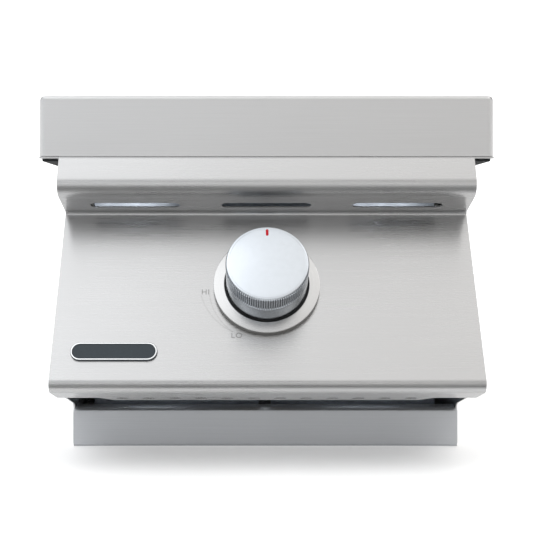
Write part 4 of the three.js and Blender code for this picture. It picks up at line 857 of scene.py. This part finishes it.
# The lead's places, given one by one: from the module's end, and to the ceramic's lower end
AHEAD_OF_SHIELD = (
    (0, 0, 0), (0, 10.7, -6), (11.6, 22.7, -9.5), (22.6, 40.7, -1.5), (34.6, 60.7, 12.5),
)
BEHIND_SHIELD = (
    (18.5, -82.5, -37.7), (12.5, -52.5, -33.7), (5.5, -24.5, -27.7), (1, -5.5, -19.7), (0, 0, -9.7),
    (0, 0, 0),
)
MODULE_X, MODULE_DEPTH = 21.6, -44.3
LEAD_HOLE_X, LEAD_HOLE_DROP = 56, 32
LEAD_RADIUS = 1.5


def igniter_lead():
    start = on_face(0, MODULE_DEPTH, MODULE_X)
    ceramic_low, _, ceramic = middle_of("electrode_ceramic")
    end = Vector((ceramic.x, ceramic.y, ceramic_low.z - PIPE_GAP * MM))
    shield_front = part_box("front_heat_shield")[0].y
    spud = middle_of("orifice_spud")[2]
    hole = Vector((LEAD_HOLE_X * MM, shield_front, spud.z - LEAD_HOLE_DROP * MM))
    route = [start + Vector(step) * MM for step in AHEAD_OF_SHIELD] + [hole]
    route += [end + Vector(step) * MM for step in BEHIND_SHIELD]
    drawn("sleeved_lead", route, LEAD_RADIUS, "rubber", "igniter_lead", smooth=True)


# Near-black foam strips under the flanges that rest on the counter; their black stands in for painted shade on the
# flanges' undersides
FLANGE_SHEET = 1.2
FOAM_THICK = 1.6
FOAM_TAPER = 0.97
FOAM_EDGE = 0.3
FOAM_BACK = 1
SIDE_STRIP_NEAR, SIDE_STRIP_FAR = 151.6, 164.4
SIDE_STRIP_START = 48
REAR_STRIP_HALF, REAR_STRIP_WIDTH = 148, 12.4


def foam_strip(name, near, far, top):
    """A flat strip between two corners whose lower edge is drawn in a little."""
    width, length = far[0] - near[0], far[1] - near[1]
    middle = Vector(((near[0] + far[0]) / 2, (near[1] + far[1]) / 2, top))
    half_width, half_length = width / 2, length / 2
    outline = (
        (-half_width, -half_length), (half_width, -half_length), (half_width, half_length),
        (-half_width, half_length),
    )
    layers = ((0, 1), (-0.5 * FOAM_THICK * MM, 1), (-FOAM_THICK * MM, FOAM_TAPER))
    shape = skinned([[(x * share, y * (1 + (share - 1) * width / length), z) for x, y in outline]
                     for z, share in layers])
    piece = placed(name, mesh_of(name, shape), ["foam"], "housing",
                   basis=Matrix.Translation(middle))
    soften(piece, FOAM_EDGE * MM)


def foam_strips():
    low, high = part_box("right_side_panel")
    top = high.z - FLANGE_SHEET * MM
    start = low.y + SIDE_STRIP_START * MM
    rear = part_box("rear_panel")[1].y - FOAM_BACK * MM
    near, far, half = SIDE_STRIP_NEAR * MM, SIDE_STRIP_FAR * MM, REAR_STRIP_HALF * MM
    foam_strip("right_seal_shade", (near, start), (far, rear), top)
    foam_strip("left_seal_shade", (-far, start), (-near, rear), top)
    foam_strip("rear_seal_shade", (-half, rear - REAR_STRIP_WIDTH * MM), (half, rear), top)


# Button-head screws and rivets: (radius, height, half width of the socket), and a rivet has no socket
SIDE_SCREW = (3.4, 1.8, 1.2)
BRACKET_RIVET = (3.6, 1.6, 0)
ORIFICE_RIVET = (2.8, 1.3, 0)

# Outlines of their heads, as shares of radius and height
RIVET_HEAD = ((1, 0.25), (0.82, 0.7), (0.45, 0.95), (0, 1))
SCREW_HEAD = ((1, 0.25), (0.85, 0.72), (0.62, 0.97))
SOCKET_WALL, SOCKET_FLOOR = 0.35, 0.3
HEAD_SUNK = 0.4
HEAD_STEPS = 36
HEAD_CORNER = 40


def head_profile(angle, radius, height, socket):
    """A domed head, with a hexagonal socket where it has one."""
    foot = [(0, -HEAD_SUNK), (radius, -HEAD_SUNK)]
    if not socket:
        return in_mm(foot + [(radius * out, height * up) for out, up in RIVET_HEAD])
    key = hexagon(angle, socket)
    hollow = [(key, height), (key, SOCKET_WALL * height), (0, SOCKET_FLOOR * height)]
    return in_mm(foot + [(radius * out, height * up) for out, up in SCREW_HEAD] + hollow)


def fasteners(name, places, axis, size):
    """Equal screws or rivets, one piece each, at places on the housing."""
    columns = [(angle, head_profile(angle, *size)) for angle in turns(HEAD_STEPS)]
    for index, place in enumerate(places):
        piece_name = f"{name}_{index + 1}"
        mesh = mesh_of(piece_name, revolved(columns))
        soften(placed(piece_name, mesh, ["hardware"], "housing", basis=axis_frame(place, axis)),
               corner=HEAD_CORNER)


# Where they sit: along the bottom pan, at the cross strap's ends, and on the hinge and orifice brackets
PANEL_FACE = 150
LOWER_SCREW_SHARES = (0.1, 0.37, 0.64, 0.91)
LOWER_SCREW_HEIGHT = 5.6
STRAP_SCREW_STEP, STRAP_SCREW_DROP = 9, 4.5
BRACKET_RIVET_STEP, BRACKET_RIVET_IN = 5.5, 8
BRACKET_SHEET = 1.6
ORIFICE_RIVET_STEP, ORIFICE_RIVET_RISE = 7, 8
ORIFICE_ARM = 1.8


def all_fasteners():
    pan_low, pan_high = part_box("bottom_pan")
    _, strap_high, strap = middle_of("cross_strap")
    span = pan_high.y - pan_low.y
    strap_screw_z = strap_high.z - STRAP_SCREW_DROP * MM
    for side, word in ((1, "right"), (-1, "left")):
        panel_x = side * PANEL_FACE * MM
        lower = [(panel_x, pan_low.y + span * share, LOWER_SCREW_HEIGHT * MM)
                 for share in LOWER_SCREW_SHARES]
        upper = [(panel_x, strap.y + step * STRAP_SCREW_STEP * MM, strap_screw_z) for step in (-1, 1)]
        fasteners(word + "_side_screw", lower + upper, (side, 0, 0), SIDE_SCREW)
        low, high, bracket = middle_of(word + "_hinge_bracket")
        foot_x = side * (max(abs(low.x), abs(high.x)) - BRACKET_RIVET_IN * MM)
        foot_top = low.z + BRACKET_SHEET * MM
        feet = [(foot_x, bracket.y + step * BRACKET_RIVET_STEP * MM, foot_top) for step in (-1, 1)]
        fasteners(word + "_bracket_rivet", feet, (0, 0, 1), BRACKET_RIVET)
    rivet_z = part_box("orifice_bracket")[0].z + ORIFICE_RIVET_RISE * MM
    rivet_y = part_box("front_heat_shield")[0].y - ORIFICE_ARM * MM
    holds = [(step * ORIFICE_RIVET_STEP * MM, rivet_y, rivet_z) for step in (-1, 1)]
    fasteners("orifice_rivet", holds, (0, -1, 0), ORIFICE_RIVET)


knob()
pointer()
bezel()
badge()
marks()
swell_line()
burner_ring()
burner_cap()
inlet_fitting()
hinge_pins()
supply_tube()
inlet_pipe()
igniter_lead()
foam_strips()
all_fasteners()

# Stage: a pale floor that curves up behind the object, and soft light. Lengths here are in metres
FLOOR_HALF = 6.0
FLOOR_FRONT = -5.0
FLOOR_LEVEL = -0.0002
WALL_BEND_START, WALL_BEND_RADIUS, WALL_TOP = 3.3, 1.2, 1.6
WALL_BEND_STEPS = 16


def on_stage(name, mesh, kind):
    """A piece of the studio."""
    piece = bpy.data.objects.new(name, mesh)
    bpy.context.scene.collection.objects.link(piece)
    mesh.materials.append(FINISHES[kind])
    return piece


def stage_floor():
    """One swept sheet: flat floor, a wide bend and a wall behind."""
    section = [(FLOOR_FRONT, 0.0), (WALL_BEND_START, 0.0)]
    for step in range(1, WALL_BEND_STEPS + 1):
        angle = math.pi / 2 * step / WALL_BEND_STEPS
        section.append((WALL_BEND_START + WALL_BEND_RADIUS * math.sin(angle),
                        WALL_BEND_RADIUS * (1 - math.cos(angle))))
    section.append((WALL_BEND_START + WALL_BEND_RADIUS, WALL_TOP))
    shape = bmesh.new()
    rows = [[shape.verts.new((x, y, z + FLOOR_LEVEL)) for x in (-FLOOR_HALF, FLOOR_HALF)]
            for y, z in section]
    for near, far in zip(rows, rows[1:]):
        shape.faces.new((near[0], near[1], far[1], far[0]))
    mesh = mesh_of("floor", shape)
    mesh.polygons.foreach_set("use_smooth", [True] * len(mesh.polygons))
    on_stage("floor", mesh, "floor")


# Dark cards out of the picture: one on the floor in front, and one standing at each side behind the object
FRONT_CARD_NEAR, FRONT_CARD_FAR = -0.3, -1.1
FRONT_CARD_HALF, FRONT_CARD_LIFT = 1.2, 0.002
SIDE_CARD_X, SIDE_CARD_TOP = 0.8, 1.0
SIDE_CARD_START, SIDE_CARD_END = 0.25, 1.7


def dark_card(name, corners):
    """A card that only polished surfaces see; it gives pale edges their outline."""
    shape = bmesh.new()
    shape.faces.new([shape.verts.new(corner) for corner in corners])
    card = on_stage(name, mesh_of(name, shape), "dark_card")
    card.visible_camera = False
    card.visible_shadow = False
    card.visible_diffuse = False


def dark_cards():
    half, lift = FRONT_CARD_HALF, FRONT_CARD_LIFT
    near, far = FRONT_CARD_NEAR, FRONT_CARD_FAR
    dark_card("front_card", ((-half, near, lift), (half, near, lift), (half, far, lift),
                             (-half, far, lift)))
    start, end, top = SIDE_CARD_START, SIDE_CARD_END, SIDE_CARD_TOP
    for side, word in ((1, "right"), (-1, "left")):
        x = side * SIDE_CARD_X
        dark_card(word + "_card", ((x, start, 0), (x, end, 0), (x, end, top), (x, start, top)))


def softbox(name, place, aim, width, height, power):
    light = bpy.data.objects.new(name, bpy.data.lights.new(name, "AREA"))
    bpy.context.scene.collection.objects.link(light)
    light.data.shape = "RECTANGLE"
    light.data.size = width
    light.data.size_y = height
    light.data.energy = power
    light.location = place
    light.rotation_euler = (Vector(aim) - Vector(place)).to_track_quat("-Z", "Y").to_euler()
    return light


def ramp(tree, value, stops):
    """A brightness that follows a value from -1 to 1 through (value, brightness) stops.

    The ramp itself runs from 0 to 1, so both are halved on the way in and the brightness is doubled again.
    """
    made = tree.nodes.new("ShaderNodeValToRGB")
    tree.links.new(math_node(tree, "MULTIPLY_ADD", value, 0.5, 0.5), made.inputs["Fac"])
    line = made.color_ramp
    line.interpolation = "EASE"
    while len(line.elements) < len(stops):
        line.elements.new(0.5)
    for element, (at, level) in zip(line.elements, stops):
        element.position = (at + 1) / 2
        element.color = (level / 2, level / 2, level / 2, 1)
    return math_node(tree, "MULTIPLY", made.outputs["Color"], 2)


# Brightness of the studio by the height of the direction, in front of the object and behind it
IN_FRONT = ((-0.3, 0.38), (-0.14, 0.6), (0, 1.2), (0.1, 1.4), (0.18, 1.3), (0.28, 0.42), (0.38, 0.34),
            (0.7, 1.56), (0.9, 1.54), (1, 1.1))
BEHIND = ((0.22, 1.28), (0.3, 0.5), (0.85, 0.6), (1, 1.0))

# What changes from left to right, or from front to rear: two values, and where one turns into the other
LEFT_TO_RIGHT = (1.2, 0.91, -0.32, 0.32)
FRONT_TO_REAR = (0, 1, -0.1, 0.5)
COOL_TO_WARM = (0, 1, -0.25, 0.25)
COOL, WARM = (0.97, 0.985, 1, 1), (1, 0.985, 0.965, 1)


def surround():
    """Soft light from all round, most from the left: dim in front at eye height, bright above and behind."""
    world = bpy.data.worlds.new("studio")
    bpy.context.scene.world = world
    world.use_nodes = True
    tree = world.node_tree
    place = tree.nodes.new("ShaderNodeTexCoord")
    split = tree.nodes.new("ShaderNodeSeparateXYZ")
    tree.links.new(place.outputs["Generated"], split.inputs["Vector"])
    across = ranged(tree, split.outputs["X"], *LEFT_TO_RIGHT)
    front = math_node(tree, "MULTIPLY", ramp(tree, split.outputs["Z"], IN_FRONT), across)
    rear = ramp(tree, split.outputs["Z"], BEHIND)
    level = mixed(tree, "FLOAT", front, rear, ranged(tree, split.outputs["Y"], *FRONT_TO_REAR))
    colour = mixed(tree, "RGBA", COOL, WARM, ranged(tree, split.outputs["X"], *COOL_TO_WARM))
    background = tree.nodes["Background"]
    tree.links.new(colour, background.inputs["Color"])
    tree.links.new(level, background.inputs["Strength"])


# Each light's place, what it aims at, its width and height, and its power in watts
OBJECT_MIDDLE = (0, 0, 0.15)
SOFTBOXES = {
    "key": ((-0.9, -1.3, 1.9), OBJECT_MIDDLE, 1.4, 1.0, 1.2),
    "fill": ((1.2, -0.6, 1.6), OBJECT_MIDDLE, 1.0, 1.0, 3),
    "backdrop_light": ((0, 1.2, 3.0), (0, 3.5, 0.6), 4.0, 1.0, 25),
}

# Small lamps in the control space, which show the heat shield through the outer slots
SLOT_LAMP_X, SLOT_LAMP_SHIFT = 0.107, -0.006
SLOT_LAMP_AHEAD, SLOT_LAMP_Z, SLOT_AIM_Z = 0.03, 0.15, 0.196
SLOT_LAMP_WIDTH, SLOT_LAMP_HEIGHT = 0.055, 0.01
SLOT_LAMP_POWER = 0.019
SLOT_LAMP_SPREAD = math.radians(60)


def slot_lamps():
    shield_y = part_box("front_heat_shield")[0].y
    for side in (-1, 1):
        x = side * SLOT_LAMP_X + SLOT_LAMP_SHIFT
        lamp = softbox("slot_lamp", (x, shield_y - SLOT_LAMP_AHEAD, SLOT_LAMP_Z), (x, shield_y, SLOT_AIM_Z),
                       SLOT_LAMP_WIDTH, SLOT_LAMP_HEIGHT, SLOT_LAMP_POWER)
        lamp.data.spread = SLOT_LAMP_SPREAD
        lamp.visible_camera = False


stage_floor()
dark_cards()
surround()
for name, settings in SOFTBOXES.items():
    softbox(name, *settings)
slot_lamps()
